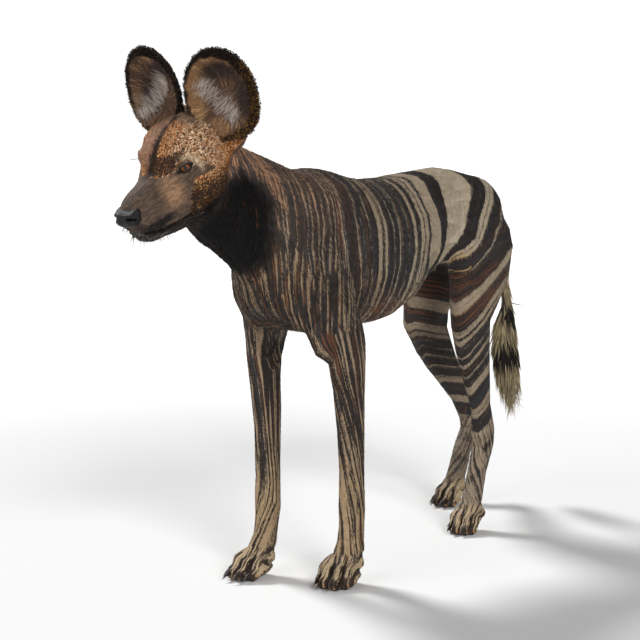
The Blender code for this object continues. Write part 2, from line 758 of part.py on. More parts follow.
def add_ear(side, sign, head, neck):
    """A cupped ear, seated in the head, with the space before its cup left open."""
    frame = ear_frame(side, sign)
    add_object("ear_" + side, ear_solid(frame, ear_cup, ear_back, 0.0), "coat_dark")
    for host in (head, neck):
        seat = ear_solid(
            frame,
            lambda share: -EAR_MOUTH * (1.0 - share ** 2) - 2.0 * CUT_GAP,
            lambda share: ear_back(share) + 2.0 * CUT_GAP,
            EAR_SEAT_SPREAD,
        )
        carve(host, add_cutter("ear_cutter", seat), "DIFFERENCE")


def add_claws(name, paw):
    """Four curved claws, each a bent cone with its root in the toe."""
    frame, size = paw_matrix(name)
    for index, (across, tip, _, radius) in enumerate(sorted(toes(size))):
        bm = bmesh.new()
        rings = []
        for step in range(CLAW_RINGS):
            share = step / (CLAW_RINGS - 1.0)
            bend = share * CLAW_BEND
            reach = CLAW_LENGTH * size * math.sin(bend) / CLAW_BEND
            drop = CLAW_LENGTH * size * (1.0 - math.cos(bend)) / CLAW_BEND
            centre = Vector((across, -(tip + radius * 0.86 + reach), CLAW_HEIGHT * size - drop))
            thick = CLAW_RADIUS * (1.0 - 0.86 * share)
            rings.append([
                centre + Vector((math.cos(turn) * thick * 0.8, 0.0, math.sin(turn) * thick))
                for turn in (2.0 * math.pi * k / CLAW_SIDES for k in range(CLAW_SIDES))
            ])
        loft(bm, rings)
        bmesh.ops.triangulate(bm, faces=bm.faces[:])
        bmesh.ops.transform(bm, matrix=frame, verts=bm.verts[:])
        claw = add_object(name.replace("paw", "claw") + "_" + str(index + 1), bm, "claw_horn")
        carve(claw, swollen(paw, CUT_GAP), "DIFFERENCE")


def add_body_nodes(flesh):
    middle = (Vector((0.0, TRUNK_CUT_Y, 0.0)), Vector((0.0, 1.0, 0.0)))
    arm_roofs = [roof(side, ARM_ROOF) for side in ("left", "right")]
    thigh_roofs = [roof(side, THIGH_ROOF) for side in ("left", "right")]
    source = thinned(flesh, KEEP_TRUNK)
    neck = node("neck", source, [flipped(HEAD_CUT), NECK_CUT], "coat_grey")
    node("chest", source, [flipped(NECK_CUT), middle] + [flipped(plane) for plane in arm_roofs], "coat_grey")
    loin = node("loin", source, [flipped(middle)] + [flipped(plane) for plane in thigh_roofs], "coat_tan")
    carve(loin, tail_room(), "DIFFERENCE")
    beside = [(Vector((sign * TAIL_CUT_X, 0.0, 0.0)), Vector((sign, 0.0, 0.0))) for sign in (1.0, -1.0)]
    behind = (Vector((0.0, TAIL_CUT_Y, 0.0)), Vector((0.0, -1.0, 0.0)))
    node("tail", source, beside + [behind], "coat_tan")
    source.free()
    return neck


def tail_room():
    """The block of space behind the rump that the tail's node has to itself."""
    bm = bmesh.new()
    depth = 0.4
    low_y = TAIL_CUT_Y - 0.5 * CUT_GAP
    middle = Matrix.Translation((0.0, low_y + 0.5 * depth, 0.5))
    size = Matrix.Diagonal((2.0 * TAIL_CUT_X + CUT_GAP, depth, 1.0, 1.0))
    bmesh.ops.create_cube(bm, size=1.0, matrix=middle @ size)
    return add_cutter("tail_cutter", bm)


def add_leg_nodes(flesh):
    source = thinned(flesh, KEEP_LEG)
    middle = (Vector((0.0, TRUNK_CUT_Y, 0.0)), Vector((0.0, 1.0, 0.0)))
    for side, sign in (("left", 1.0), ("right", -1.0)):
        inner = (Vector((sign * LEG_INNER_X, 0.0, 0.0)), Vector((-sign, 0.0, 0.0)))
        for leg, slope, bound, waist in (
            ("foreleg", ARM_ROOF, middle, WRIST_CUT_Z), ("hindleg", THIGH_ROOF, flipped(middle), HOCK_CUT_Z)
        ):
            half = [inner, bound, roof(side, slope)]
            upper = node(leg + "_" + side + "_upper", source, half + [flipped(level(waist))], "coat_dark")
            if leg == "hindleg":
                carve(upper, tail_room(), "DIFFERENCE")
            shank = half + [level(waist), flipped(level(PAW_CUT_Z))]
            node(leg + "_" + side + "_lower", source, shank, "coat_tan")
    source.free()


def add_paw_nodes(flesh):
    source = thinned(flesh, KEEP_PAW)
    middle = (Vector((0.0, TRUNK_CUT_Y, 0.0)), Vector((0.0, 1.0, 0.0)))
    for name, (x, y, _, _) in PAWS.items():
        sign = 1.0 if x > 0.0 else -1.0
        inner = (Vector((sign * LEG_INNER_X, 0.0, 0.0)), Vector((-sign, 0.0, 0.0)))
        bound = middle if y < 0.0 else flipped(middle)
        paw = node(name, source, [inner, bound, level(PAW_CUT_Z)], "coat_tan")
        add_claws(name, paw)
    source.free()


def centre_on_floor():
    """Move everything so that the middle of its box stands over the origin."""
    corners = [vert.co for obj in bpy.data.objects for vert in obj.data.vertices]
    middle_x = 0.5 * (min(co.x for co in corners) + max(co.x for co in corners))
    middle_y = 0.5 * (min(co.y for co in corners) + max(co.y for co in corners))
    for obj in bpy.data.objects:
        obj.data.transform(Matrix.Translation((-middle_x, -middle_y, 0.0)))


def main():
    clear_scene()
    flesh = fine_flesh()
    head, _ = add_head_nodes(flesh)
    add_eyes(head)
    add_nose(head)
    neck = add_body_nodes(flesh)
    for side, sign in (("left", 1.0), ("right", -1.0)):
        add_ear(side, sign, head, neck)
    add_leg_nodes(flesh)
    add_paw_nodes(flesh)
    bpy.data.objects.remove(flesh, do_unlink=True)
    centre_on_floor()


main()
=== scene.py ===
"""Looks of a life-size African wild dog, a still museum model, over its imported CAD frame.

One skin, made from the CAD's own flesh solids, carries the markings, and a coat of solid
tufts lies over it. Eyes, nose leather, claws, whiskers and the long ear hair are pieces
of their own. Lengths are in metres.
"""

import itertools
import math
from contextlib import contextmanager
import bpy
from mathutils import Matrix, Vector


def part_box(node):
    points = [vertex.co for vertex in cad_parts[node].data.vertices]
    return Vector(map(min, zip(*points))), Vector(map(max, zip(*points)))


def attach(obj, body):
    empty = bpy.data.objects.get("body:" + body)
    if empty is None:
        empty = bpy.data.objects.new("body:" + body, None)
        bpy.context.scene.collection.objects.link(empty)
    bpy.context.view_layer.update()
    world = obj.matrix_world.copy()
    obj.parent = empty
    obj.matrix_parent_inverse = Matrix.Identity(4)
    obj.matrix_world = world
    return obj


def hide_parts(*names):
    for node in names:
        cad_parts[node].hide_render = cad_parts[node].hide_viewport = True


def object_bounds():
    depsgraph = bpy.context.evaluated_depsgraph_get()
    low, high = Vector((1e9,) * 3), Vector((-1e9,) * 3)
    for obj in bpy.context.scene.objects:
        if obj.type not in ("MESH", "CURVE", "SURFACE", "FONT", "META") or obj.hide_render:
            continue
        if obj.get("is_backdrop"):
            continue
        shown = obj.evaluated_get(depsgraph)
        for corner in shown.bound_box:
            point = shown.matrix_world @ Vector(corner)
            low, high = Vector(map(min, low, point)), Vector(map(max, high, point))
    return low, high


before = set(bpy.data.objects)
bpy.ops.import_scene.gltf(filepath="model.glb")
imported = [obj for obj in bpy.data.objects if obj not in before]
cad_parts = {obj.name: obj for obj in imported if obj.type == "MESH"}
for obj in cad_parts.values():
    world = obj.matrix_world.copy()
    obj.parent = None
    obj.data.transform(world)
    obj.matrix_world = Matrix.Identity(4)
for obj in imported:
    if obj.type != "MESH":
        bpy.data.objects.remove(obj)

from types import SimpleNamespace

import bmesh
import bpy
import numpy as np
from mathutils import Matrix, Vector
from mathutils.bvhtree import BVHTree

bl_info = {
    "name": "African wild dog coat",
    "version": (1, 0, 0),
    "blender": (4, 5, 0),
    "location": "View3D > Sidebar > Wild dog",
    "description": "Builds the skin, coat, eyes, nose, claws and stage of a life-size African wild dog",
    "category": "Object",
}

# Head: its own frame has the axes forward, left and up, and a zero behind the eyes
HEAD_ORIGIN = Vector((-0.042, -0.553, 0.705))
HEAD_YAW = math.radians(-4.0)
HEAD_PITCH = math.radians(-25.5)
HEAD_ROLL = math.radians(-2.9)

# Eyes: the front of the left one in the head's frame, mirrored for the right one
EYE_RADIUS = 0.0122
EYE_FRONT = (0.0005, 0.0445, -0.0010)
EYE_GAZE = (0.669, 0.741, 0.050)
LID_SLANT = math.radians(12.0)
LID_HALF_LENGTH = 0.0110
LID_RISE = 0.0035
LID_DROP = 0.0040
LID_THICKNESS = 0.0012
IRIS_ANGLE = 0.66
PUPIL_ANGLE = 0.30

# Ears: a cupped oval, wider low down, as in the CAD
EAR_WIDTH = 0.125
EAR_HEIGHT = 0.147
EAR_LOW_FLARE = 0.236
EAR_CENTRE = (-0.0885, 0.0690, 0.0783)
EAR_FACES_OUT = {"left": math.radians(13.6), "right": math.radians(8.0)}
EAR_LEANS_BACK = math.radians(6.9)
EAR_LEANS_OUT = math.radians(2.6)

# Sections of the nose leather: forward, middle height, half width, up, down
NOSE_SECTIONS = (
    (0.0860, -0.0305, 0.0190, 0.0070, 0.0125),
    (0.0930, -0.0310, 0.0218, 0.0102, 0.0150),
    (0.0985, -0.0315, 0.0216, 0.0100, 0.0160),
    (0.1040, -0.0325, 0.0202, 0.0092, 0.0156),
    (0.1090, -0.0335, 0.0176, 0.0080, 0.0138),
    (0.1126, -0.0342, 0.0134, 0.0060, 0.0104),
    (0.1146, -0.0350, 0.0070, 0.0034, 0.0052),
)
NOSTRIL = ((0.1115, 0.0112, -0.0325), (0.1095, 0.0152, -0.0335), (0.1040, 0.0192, -0.0358))

# Line between the lips on the left side, in the head's frame, from the front to the corner
MOUTH_LINE = (
    (0.106, 0.000, -0.0590), (0.100, 0.012, -0.0620), (0.087, 0.022, -0.0660),
    (0.060, 0.027, -0.0730), (0.030, 0.031, -0.0770), (0.009, 0.039, -0.0760),
    (-0.003, 0.040, -0.0780),
)

# Axes of the legs, from the body down to the knuckles
LEG_AXES = {
    "fore_left": ((0.058, -0.240, 0.470), (0.074, -0.221, 0.380),
                  (0.076, -0.206, 0.126), (0.071, -0.225, 0.0)),
    "fore_right": ((-0.058, -0.255, 0.470), (-0.075, -0.244, 0.380),
                   (-0.077, -0.236, 0.123), (-0.085, -0.269, 0.0)),
    "hind_left": ((0.050, 0.285, 0.600), (0.067, 0.229, 0.400),
                  (0.069, 0.280, 0.186), (0.074, 0.219, 0.0)),
    "hind_right": ((-0.050, 0.292, 0.600), (-0.075, 0.290, 0.400),
                   (-0.067, 0.474, 0.178), (-0.062, 0.404, 0.0)),
}

# Paws: middle on the floor x, y, turn outwards, size
PAWS = {
    "fore_left": (0.070, -0.240, math.radians(6.0), 1.00),
    "fore_right": (-0.082, -0.279, math.radians(8.0), 1.00),
    "hind_left": (0.075, 0.203, math.radians(6.0), 0.93),
    "hind_right": (-0.061, 0.386, math.radians(6.0), 0.93),
}
# Forelegs: shift of the paw, then how far the rear outline stands out at some heights
OUTLINE_HEIGHTS = (0.0, 0.010, 0.020, 0.030, 0.040, 0.057, 0.115)
FORELEG_OUTLINES = (
    ("fore_right", (0.006, 0.004), (-0.0060, 0.0040, 0.0085, 0.0080, 0.0060, 0.0050, 0.0)),
    ("fore_left", (0.0, 0.0), (-0.0090, 0.0030, 0.0085, 0.0085, 0.0070, 0.0065, 0.0)),
)
CLAW_LENGTH = 0.0165
CLAW_RADIUS = 0.0040
CLAW_BEND = math.radians(50.0)
CLAW_HEIGHT = 0.0128
TOE_RADIUS = 0.0110

TAIL_AXIS = ((0.405, 0.618), (0.440, 0.588), (0.466, 0.545), (0.481, 0.490), (0.492, 0.430),
             (0.500, 0.370), (0.509, 0.310), (0.519, 0.262), (0.531, 0.228), (0.541, 0.200))

# CAD nodes of flesh that the skin stands for, by the part of the body they belong to
PARTS = {
    "trunk": ("chest", "loin"),
    "neck": ("neck",),
    "head": ("head", "jaw"),
    "ear_left": ("ear_left",),
    "ear_right": ("ear_right",),
    "fore_left": ("foreleg_left_upper", "foreleg_left_lower", "paw_fore_left"),
    "fore_right": ("foreleg_right_upper", "foreleg_right_lower", "paw_fore_right"),
    "hind_left": ("hindleg_left_upper", "hindleg_left_lower", "paw_hind_left"),
    "hind_right": ("hindleg_right_upper", "hindleg_right_lower", "paw_hind_right"),
    "tail": ("tail",),
}
FLESH = [node for nodes in PARTS.values() for node in nodes]
# Folds of skin from the breastbone to the forelegs: middle and radii
PECTORAL_FOLDS = (
    ((0.030, -0.248, 0.436), (0.034, 0.026, 0.024)),
    ((-0.026, -0.250, 0.440), (0.030, 0.026, 0.020)),
)
# Room beside the elbows' middle lines: inwards, and for the right one also to the right in the photo
ELBOW_HEIGHTS = (0.34, 0.38, 0.42, 0.46)
ELBOW_ROOM = {"fore_left": (0.022, 0.026, 0.040, 0.060), "fore_right": (0.019, 0.012, 0.011, 0.026)}
RIGHT_ELBOW_REACH = ((0.30, 0.026), (0.34, 0.026), (0.40, 0.031), (0.44, 0.038), (0.47, 0.060))
SKIN_VOXEL = 0.0024
SKIN_SWELL = 0.0007
SKIN_SHARE = 0.15
BAKE_PATCH = 0.003

# How deep the coat lies over the skin on each part
COAT_DEPTH = {
    "trunk": 0.0035, "neck": 0.0045, "head": 0.0012, "ear_left": 0.0006, "ear_right": 0.0006,
    "fore_left": 0.0018, "fore_right": 0.0018, "hind_left": 0.0022, "hind_right": 0.0022, "tail": 0.006,
}

# Pale bands as places along the body and on down the thigh, each from where it starts to where it ends
BAND_EDGES = (
    (-0.243, -0.234), (-0.205, -0.200), (-0.164, -0.159), (-0.141, -0.127), (-0.118, -0.109),
    (-0.070, -0.065), (-0.018, -0.006), (0.010, 0.022), (0.026, 0.038), (0.048, 0.086),
    (0.122, 0.204), (0.250, 0.268), (0.272, 0.288), (0.336, 0.340), (0.398, 0.423), (0.455, 0.470),
    (0.474, 0.483), (0.505, 0.509), (0.523, 0.528), (0.545, 0.549), (0.571, 0.586), (0.617, 0.634),
    (0.664, 0.700), (0.716, 0.742), (0.756, 0.900),
)
TAIL_BAND_EDGES = ((0.150, 0.292), (0.326, 0.392), (0.424, 0.520), (0.545, 0.700))

# The bands of the loin fan out round this place, and these angles stand for these places along the body
FLANK_PIVOT = (0.130, 0.440)
FAN_ANGLES = (20.0, 42.0, 50.2, 57.4, 67.4, 93.2, 103.4, 125.0, 165.0)
FAN_PLACES = (0.380, 0.330, 0.286, 0.246, 0.205, 0.120, 0.087, 0.040, -0.030)

# Front ridge of the hind legs: height and how far behind the withers
LEFT_RIDGE = ((0.05, 0.205), (0.10, 0.226), (0.133, 0.243), (0.183, 0.257), (0.231, 0.247), (0.271, 0.223),
              (0.322, 0.205), (0.379, 0.190), (0.465, 0.188), (0.60, 0.190))
STREAKS = 130.0
LIMB_STREAKS = 195.0

# Inner edge of each ear's dark rim: angles round it, shares of the way out, and unevenness
EAR_RIMS = {
    "left": ((-180.0, -135.0, -105.0, -84.0, -69.0, -48.0, -25.0, 9.0, 49.0, 80.0, 101.0, 122.0, 142.0,
              159.0, 180.0),
             (0.93, 0.97, 0.95, 0.84, 0.78, 0.72, 0.64, 0.58, 0.60, 0.69, 0.78, 0.85, 0.92, 0.93, 0.93),
             0.035),
    "right": ((-180.0, -130.0, -100.0, -84.0, -60.0, 40.0, 60.0, 75.0, 100.0, 140.0, 180.0),
              (0.55, 0.62, 0.80, 0.86, 0.91, 0.92, 0.87, 0.74, 0.62, 0.52, 0.55), 0.03),
}

# In the head's frame, on the left: the pale arc round the eye, the dark line below it, and the jaw's top edge
ARC_LINE = ((-0.002, 0.0430, 0.0135), (-0.010, 0.0470, 0.0140), (-0.017, 0.0520, 0.0095),
            (-0.021, 0.0570, -0.001), (-0.020, 0.0590, -0.012))
ARC_FLATTER = np.array((1.0, 0.35, 1.0))
TEAR_LINE = ((0.010, 0.038, -0.008), (0.020, 0.038, -0.014), (0.028, 0.037, -0.022))
JAW_TOP = ((-0.003, -0.0785), (0.03, -0.0770), (0.06, -0.073), (0.087, -0.066), (0.106, -0.0590))

# Fan of long pale hair in an ear: where it is rooted and where its tips end
FAN_SHARES = (0.0, 0.25, 0.5, 0.75, 1.0)
FAN_ROOTS = ((-0.88, 0.02), (-0.77, -0.26), (-0.56, -0.55), (-0.25, -0.72), (0.09, -0.84))
EAR_HAIRS = 470
FAN_TIPS = ((-0.58, 0.24), (-0.37, 0.19), (-0.09, -0.03), (0.09, -0.25), (0.14, -0.54))

SIDES = (("left", 1.0), ("right", -1.0))

# The photo's right, as shares of the pose's x and y
VIEW_RIGHT = (0.834, 0.551)

# Camera of the photo, in the pose's frame
CAMERA_PLACE = Vector((1.476, -2.422, 0.745))
CAMERA_TARGET = Vector((-0.1674, 0.0650, 0.4047))
CAMERA_LENS = 89.12


def head_matrix():
    """The head's frame: columns forward, left, up and its zero."""
    ahead = Vector((0.0, -1.0, 0.0))
    left = Vector((1.0, 0.0, 0.0))
    up = Vector((0.0, 0.0, 1.0))
    turn_f = math.cos(HEAD_YAW) * ahead + math.sin(HEAD_YAW) * left
    turn_l = math.cos(HEAD_YAW) * left - math.sin(HEAD_YAW) * ahead
    axis_f = math.cos(HEAD_PITCH) * turn_f + math.sin(HEAD_PITCH) * up
    tilt_u = math.cos(HEAD_PITCH) * up - math.sin(HEAD_PITCH) * turn_f
    axis_l = math.cos(HEAD_ROLL) * turn_l + math.sin(HEAD_ROLL) * tilt_u
    axis_u = math.cos(HEAD_ROLL) * tilt_u - math.sin(HEAD_ROLL) * turn_l
    turn = Matrix((axis_f, axis_l, axis_u)).transposed().to_4x4()
    return Matrix.Translation(HEAD_ORIGIN) @ turn


def eye_matrix(sign):
    """An eye's frame at its front: along the lids, up and out."""
    gaze = Vector((EYE_GAZE[0], sign * EYE_GAZE[1], EYE_GAZE[2])).normalized()
    back = Vector((-gaze.y * sign, gaze.x * sign, 0.0)).normalized()
    rise = gaze.cross(back).normalized()
    if rise.z < 0.0:
        rise.negate()
    lid = back * math.cos(LID_SLANT) + rise * math.sin(LID_SLANT)
    up = rise * math.cos(LID_SLANT) - back * math.sin(LID_SLANT)
    place = Matrix.Translation((EYE_FRONT[0], sign * EYE_FRONT[1], EYE_FRONT[2]))
    return head_matrix() @ place @ Matrix((lid, up, gaze)).transposed().to_4x4()


def ear_matrix(side, sign):
    """An ear's frame at the middle of its rim: outwards, up and ahead."""
    face_out = EAR_FACES_OUT[side]
    upright = Vector((0.0, 0.0, 1.0))
    facing = Vector((math.cos(face_out), sign * math.sin(face_out), 0.0))
    across = Vector((-math.sin(face_out), sign * math.cos(face_out), 0.0))
    high = upright * math.cos(EAR_LEANS_BACK) - facing * math.sin(EAR_LEANS_BACK)
    ahead = facing * math.cos(EAR_LEANS_BACK) + upright * math.sin(EAR_LEANS_BACK)
    up = high * math.cos(EAR_LEANS_OUT) + across * math.sin(EAR_LEANS_OUT)
    wide = across * math.cos(EAR_LEANS_OUT) - high * math.sin(EAR_LEANS_OUT)
    place = Matrix.Translation((EAR_CENTRE[0], sign * EAR_CENTRE[1], EAR_CENTRE[2]))
    return head_matrix() @ place @ Matrix((wide, up, ahead)).transposed().to_4x4()


def pose_origin():
    """The pose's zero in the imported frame, from where the CAD's eyeballs lie."""
    corners = [corner for side in ("eye_left", "eye_right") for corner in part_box(side)]
    middle = sum(corners, Vector()) / len(corners)
    centres = [eye_matrix(sign) @ Vector((0.0, 0.0, -EYE_RADIUS)) for _, sign in SIDES]
    return middle - 0.5 * (centres[0] + centres[1])


ORIGIN = pose_origin()


# Suns: where they come from, strength and spread in degrees
LIGHTS = {
    "back_left": (Vector((-0.90, 0.27, 1.0)), 2.9, 14.0),
    "front_right": (Vector((0.75, -0.50, 0.52)), 2.0, 24.0),
    "front_left": (Vector((-0.35, -1.0, 0.35)), 1.3, 50.0),
}
FLOOR_SIDES = 48

# Inputs of the coat's nodes
COAT_SIZES = ("Spacing", "Length", "Width", "Lift", "Swing")
TUFT_INPUTS = ("Tuft A", "Tuft B", "Tuft C")
TUFT_SIDES = 3


# Numbers

def smooth(low, high, value):
    """A smooth step from 0 at low to 1 at high."""
    t = np.clip((value - low) / (high - low), 0.0, 1.0)
    return t * t * (3.0 - 2.0 * t)


def bell(distance, width):
    """A soft bump: 1 at no distance, and near 0 past the width."""
    return np.exp(-((distance / (0.6 * width)) ** 2))


def blob(points, centre, radii, soft=0.35):
    """How far each point is inside a soft ellipsoid, from 0 to 1."""
    reach = np.linalg.norm((points - np.array(centre)) / np.array(radii), axis=1)
    return 1.0 - smooth(1.0 - soft, 1.0 + soft, reach)


def wobble(points, size, seed=0.0):
    """Smooth noise from -1 to 1 whose lumps are about size across."""
    scaled = points / size
    cell = np.floor(scaled)
    part = scaled - cell
    part = part * part * (3.0 - 2.0 * part)
    total = np.zeros(len(points))
    for corner in itertools.product((0.0, 1.0), repeat=3):
        hashed = np.sin((cell + corner) @ (127.1, 311.7, 74.7) + 17.3 * seed) * 43758.5453
        share = np.prod(np.where(np.array(corner) > 0.5, part, 1.0 - part), axis=1)
        total += share * (hashed - np.floor(hashed))
    return 2.0 * total - 1.0


def columns(*values):
    """Rows of numbers from a few columns."""
    return np.stack(values, axis=1)


def side_sign(name):
    """Which side of the body a leg is on: 1 left, -1 right."""
    return 1.0 if name.endswith("left") else -1.0


def view_reach(across, behind):
    """How far to the right in the photo places lie from a middle line."""
    return VIEW_RIGHT[0] * across + VIEW_RIGHT[1] * behind


def push_right(points, amount):
    """Moves points to the right in the photo."""
    return points + columns(VIEW_RIGHT[0] * amount, VIEW_RIGHT[1] * amount, 0.0 * amount)


def frame_points(points, matrix):
    """Points of the pose's frame in another frame."""
    turn = np.array(matrix.to_3x3())
    return (points - np.array(matrix.translation)) @ turn


def along(line, count):
    """Points evenly placed on a smooth curve through a few points."""
    points = [Vector(p) for p in line]
    made = []
    for step in range(count):
        place = step * (len(points) - 1) / (count - 1)
        i = min(int(place), len(points) - 2)
        t = place - i
        p1, p2 = points[i], points[i + 1]
        p0 = points[i - 1] if i else 2.0 * p1 - p2
        p3 = points[i + 2] if i + 2 < len(points) else 2.0 * p2 - p1
        made.append(0.5 * (2.0 * p1 + (p2 - p0) * t + (2.0 * p0 - 5.0 * p1 + 4.0 * p2 - p3) * t * t
                           + (3.0 * p1 - p0 - 3.0 * p2 + p3) * t ** 3))
    return made


def line_distance(points, line):
    """Distance of each point to a chain of points, and how far along it the nearest place is."""
    best = np.full(len(points), 1e9)
    place = np.zeros(len(points))
    corners = np.array([tuple(p) for p in line])
    for i, (a, b) in enumerate(zip(corners, corners[1:])):
        step = b - a
        t = np.clip(((points - a) @ step) / (step @ step), 0.0, 1.0)
        gap = np.linalg.norm(points - a - t[:, None] * step, axis=1)
        nearer = gap < best
        best = np.where(nearer, gap, best)
        place = np.where(nearer, (i + t) / (len(corners) - 1), place)
    return best, place


def linear(code):
    """A colour code in sRGB as linear red, green, blue and 1."""
    channels = [int(code[i:i + 2], 16) / 255.0 for i in (1, 3, 5)]
    return [c / 12.92 if c <= 0.04045 else ((c + 0.055) / 1.055) ** 2.4 for c in channels] + [1.0]


# Meshes

def add_object(name, data):
    obj = bpy.data.objects.new(name, data)
    bpy.context.scene.collection.objects.link(obj)
    return obj


def object_from(name, bm):
    """An object of a bmesh, which is freed."""
    mesh = bpy.data.meshes.new(name)
    bm.to_mesh(mesh)
    bm.free()
    return add_object(name, mesh)


@contextmanager
def editing(mesh):
    """A mesh's bmesh, which is written back at the end."""
    bm = bmesh.new()
    bm.from_mesh(mesh)
    bm.verts.ensure_lookup_table()
    yield bm
    bm.to_mesh(mesh)
    bm.free()


def rows_of(items, key, width=3, kind=float):
    """One property of mesh elements as rows of numbers."""
    flat = np.empty(len(items) * width, dtype=kind)
    items.foreach_get(key, flat)
    return flat.reshape(-1, width)


def points_of(mesh):
    """A mesh's points in the pose's frame."""
    return rows_of(mesh.vertices, "co") - np.array(ORIGIN)


def move_points(mesh, points):
    """Moves a mesh's points to places in the pose's frame."""
    mesh.vertices.foreach_set("co", (points + np.array(ORIGIN)).ravel())
    mesh.update()


def normals_of(mesh):
    return rows_of(mesh.vertex_normals, "vector")


def edges_of(mesh):
    return rows_of(mesh.edges, "vertices", 2, np.int64)


def join_rings(bm, rings):
    """Faces between rings of points that follow each other."""
    count = len(rings[0])
    for near, far in zip(rings, rings[1:]):
        for k in range(count):
            j = (k + 1) % count
            bm.faces.new((near[k], near[j], far[j], far[k]))


def turns(count):
    """Angles evenly round a ring."""
    return [2.0 * math.pi * k / count for k in range(count)]


def neighbour_means(values, edges):
    """The mean of each point's neighbours, for rows of values."""
    count = np.bincount(edges.ravel(), minlength=len(values))
    total = np.empty_like(values)
    for k in range(values.shape[1]):
        total[:, k] = (np.bincount(edges[:, 0], values[edges[:, 1], k], len(values))
                       + np.bincount(edges[:, 1], values[edges[:, 0], k], len(values)))
    return total / np.maximum(count, 1)[:, None]


def relax(points, edges, rounds, share):
    """Smooths points towards their neighbours and back out, so that little volume is lost."""
    for _ in range(rounds):
        for pull in (0.52, -0.53):
            points = points + (pull * share)[:, None] * (neighbour_means(points, edges) - points)
    return points


def evaluated_mesh(obj):
    """The mesh of an object with its modifiers, which are then removed."""
    graph = bpy.context.evaluated_depsgraph_get()
    mesh = bpy.data.meshes.new_from_object(obj.evaluated_get(graph), depsgraph=graph)
    old = obj.data
    obj.modifiers.clear()
    obj.data = mesh
    bpy.data.meshes.remove(old)
    return mesh


def store(mesh, name, kind, values):
    """Writes one attribute of a mesh's points."""
    attribute = mesh.attributes.new(name, kind, "POINT")
    key = {"FLOAT": "value", "FLOAT_VECTOR": "vector", "FLOAT_COLOR": "color"}[kind]
    attribute.data.foreach_set(key, np.ascontiguousarray(values, dtype=np.float32).ravel())


def finished(obj, material, nodes=()):
    """Gives a piece its look and fixes it to the model."""
    if material is not None:
        obj.data.materials.clear()
        obj.data.materials.append(material)
    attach(obj, "root")
    if nodes:
        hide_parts(*nodes)
    return obj


# Skin

def merged_flesh():
    """All solids of flesh, a little swollen so that their cuts close, and the eyeballs."""
    bm = bmesh.new()
    for name in FLESH:
        bm.from_mesh(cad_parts[name].data)
    bmesh.ops.remove_doubles(bm, verts=bm.verts, dist=1e-6)
    bm.normal_update()
    for vert in bm.verts:
        vert.co += vert.normal * SKIN_SWELL
    for name in ("eye_left", "eye_right"):
        bm.from_mesh(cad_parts[name].data)
    for centre, radii in PECTORAL_FOLDS:
        place = Matrix.Translation(Vector(centre) + ORIGIN) @ Matrix.Diagonal((*radii, 1.0))
        bmesh.ops.create_icosphere(bm, subdivisions=3, radius=1.0, matrix=place)
    return object_from("skin", bm)


def keep_largest(mesh):
    """Deletes all of a mesh but its largest connected piece."""
    with editing(mesh) as bm:
        group = [-1] * len(bm.verts)
        sizes = []
        for start in bm.verts:
            if group[start.index] >= 0:
                continue
            stack = [start]
            group[start.index] = len(sizes)
            size = 0
            while stack:
                vert = stack.pop()
                size += 1
                for edge in vert.link_edges:
                    other = edge.other_vert(vert)
                    if group[other.index] < 0:
                        group[other.index] = len(sizes)
                        stack.append(other)
            sizes.append(size)
        largest = sizes.index(max(sizes))
        loose = [v for v in bm.verts if group[v.index] != largest]
        bmesh.ops.delete(bm, geom=loose, context="VERTS")


def part_shares(mesh, rounds):
    """How much each point belongs to each part of the body, softened over the mesh."""
    corners, triangles, owners = [], [], []
    for index, nodes in enumerate(PARTS.values()):
        for node in nodes:
            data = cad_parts[node].data
            start = len(corners)
            corners += [v.co for v in data.vertices]
            for polygon in data.polygons:
                triangles.append([start + i for i in polygon.vertices])
                owners.append(index)
    tree = BVHTree.FromPolygons(corners, triangles)
    shares = np.zeros((len(mesh.vertices), len(PARTS)))
    for i, vert in enumerate(mesh.vertices):
        shares[i, owners[tree.find_nearest(vert.co)[2]]] = 1.0
    edges = edges_of(mesh)
    for _ in range(rounds):
        shares = 0.4 * shares + 0.6 * neighbour_means(shares, edges)
    return {name: shares[:, i] for i, name in enumerate(PARTS)}


def thin_mesh(obj, points, kept):
    """Thins the skin, least on the head, ears and paws."""
    head = frame_points(points, head_matrix())
    keep = np.maximum(smooth(-0.13, -0.10, head[:, 0]) * smooth(0.50, 0.56, points[:, 2]),
                      smooth(0.075, 0.055, points[:, 2]))
    group = obj.vertex_groups.new(name="loose")
    levels = np.round((1.0 - 0.82 * keep) * 10.0).astype(int)
    for level in range(11):
        group.add([int(i) for i in np.nonzero(levels == level)[0]], level / 10.0, "REPLACE")
    thin = obj.modifiers.new("thin", "DECIMATE")
    thin.ratio = kept
    thin.vertex_group = "loose"
    mesh = evaluated_mesh(obj)
    obj.vertex_groups.clear()
    return mesh


def refine(mesh, wanted, longest=0.0):
    """Splits the edges near chosen points of the mesh, where they are longer than some length."""
    with editing(mesh) as bm:
        edges = [e for e in bm.edges if wanted[e.verts[0].index] and wanted[e.verts[1].index]]
        edges = [e for e in edges if e.calc_length() > longest]
        bmesh.ops.subdivide_edges(bm, edges=edges, cuts=1, use_grid_fill=True, smooth=0.0)
        bmesh.ops.triangulate(bm, faces=[f for f in bm.faces if len(f.verts) > 3])


def eye_zone(points, sign):
    """Each point in an eye's frame from the middle of the ball, and its gap from the lids' edge."""
    local = frame_points(points, eye_matrix(sign)) + (0.0, 0.0, EYE_RADIUS)
    reach = np.clip(np.abs(local[:, 0]) / LID_HALF_LENGTH, 0.0, 1.0)
    rise = np.where(local[:, 1] > 0.0, LID_RISE, LID_DROP) * (1.0 - reach ** 2.2) ** 0.8
    over = np.abs(local[:, 1]) - rise
    past = np.abs(local[:, 0]) - LID_HALF_LENGTH
    gap = np.where(past > 0.0, np.hypot(np.maximum(past, 0.0), local[:, 1]), over)
    gap = np.where(local[:, 2] < -0.004, 1.0, gap)
    return local, gap


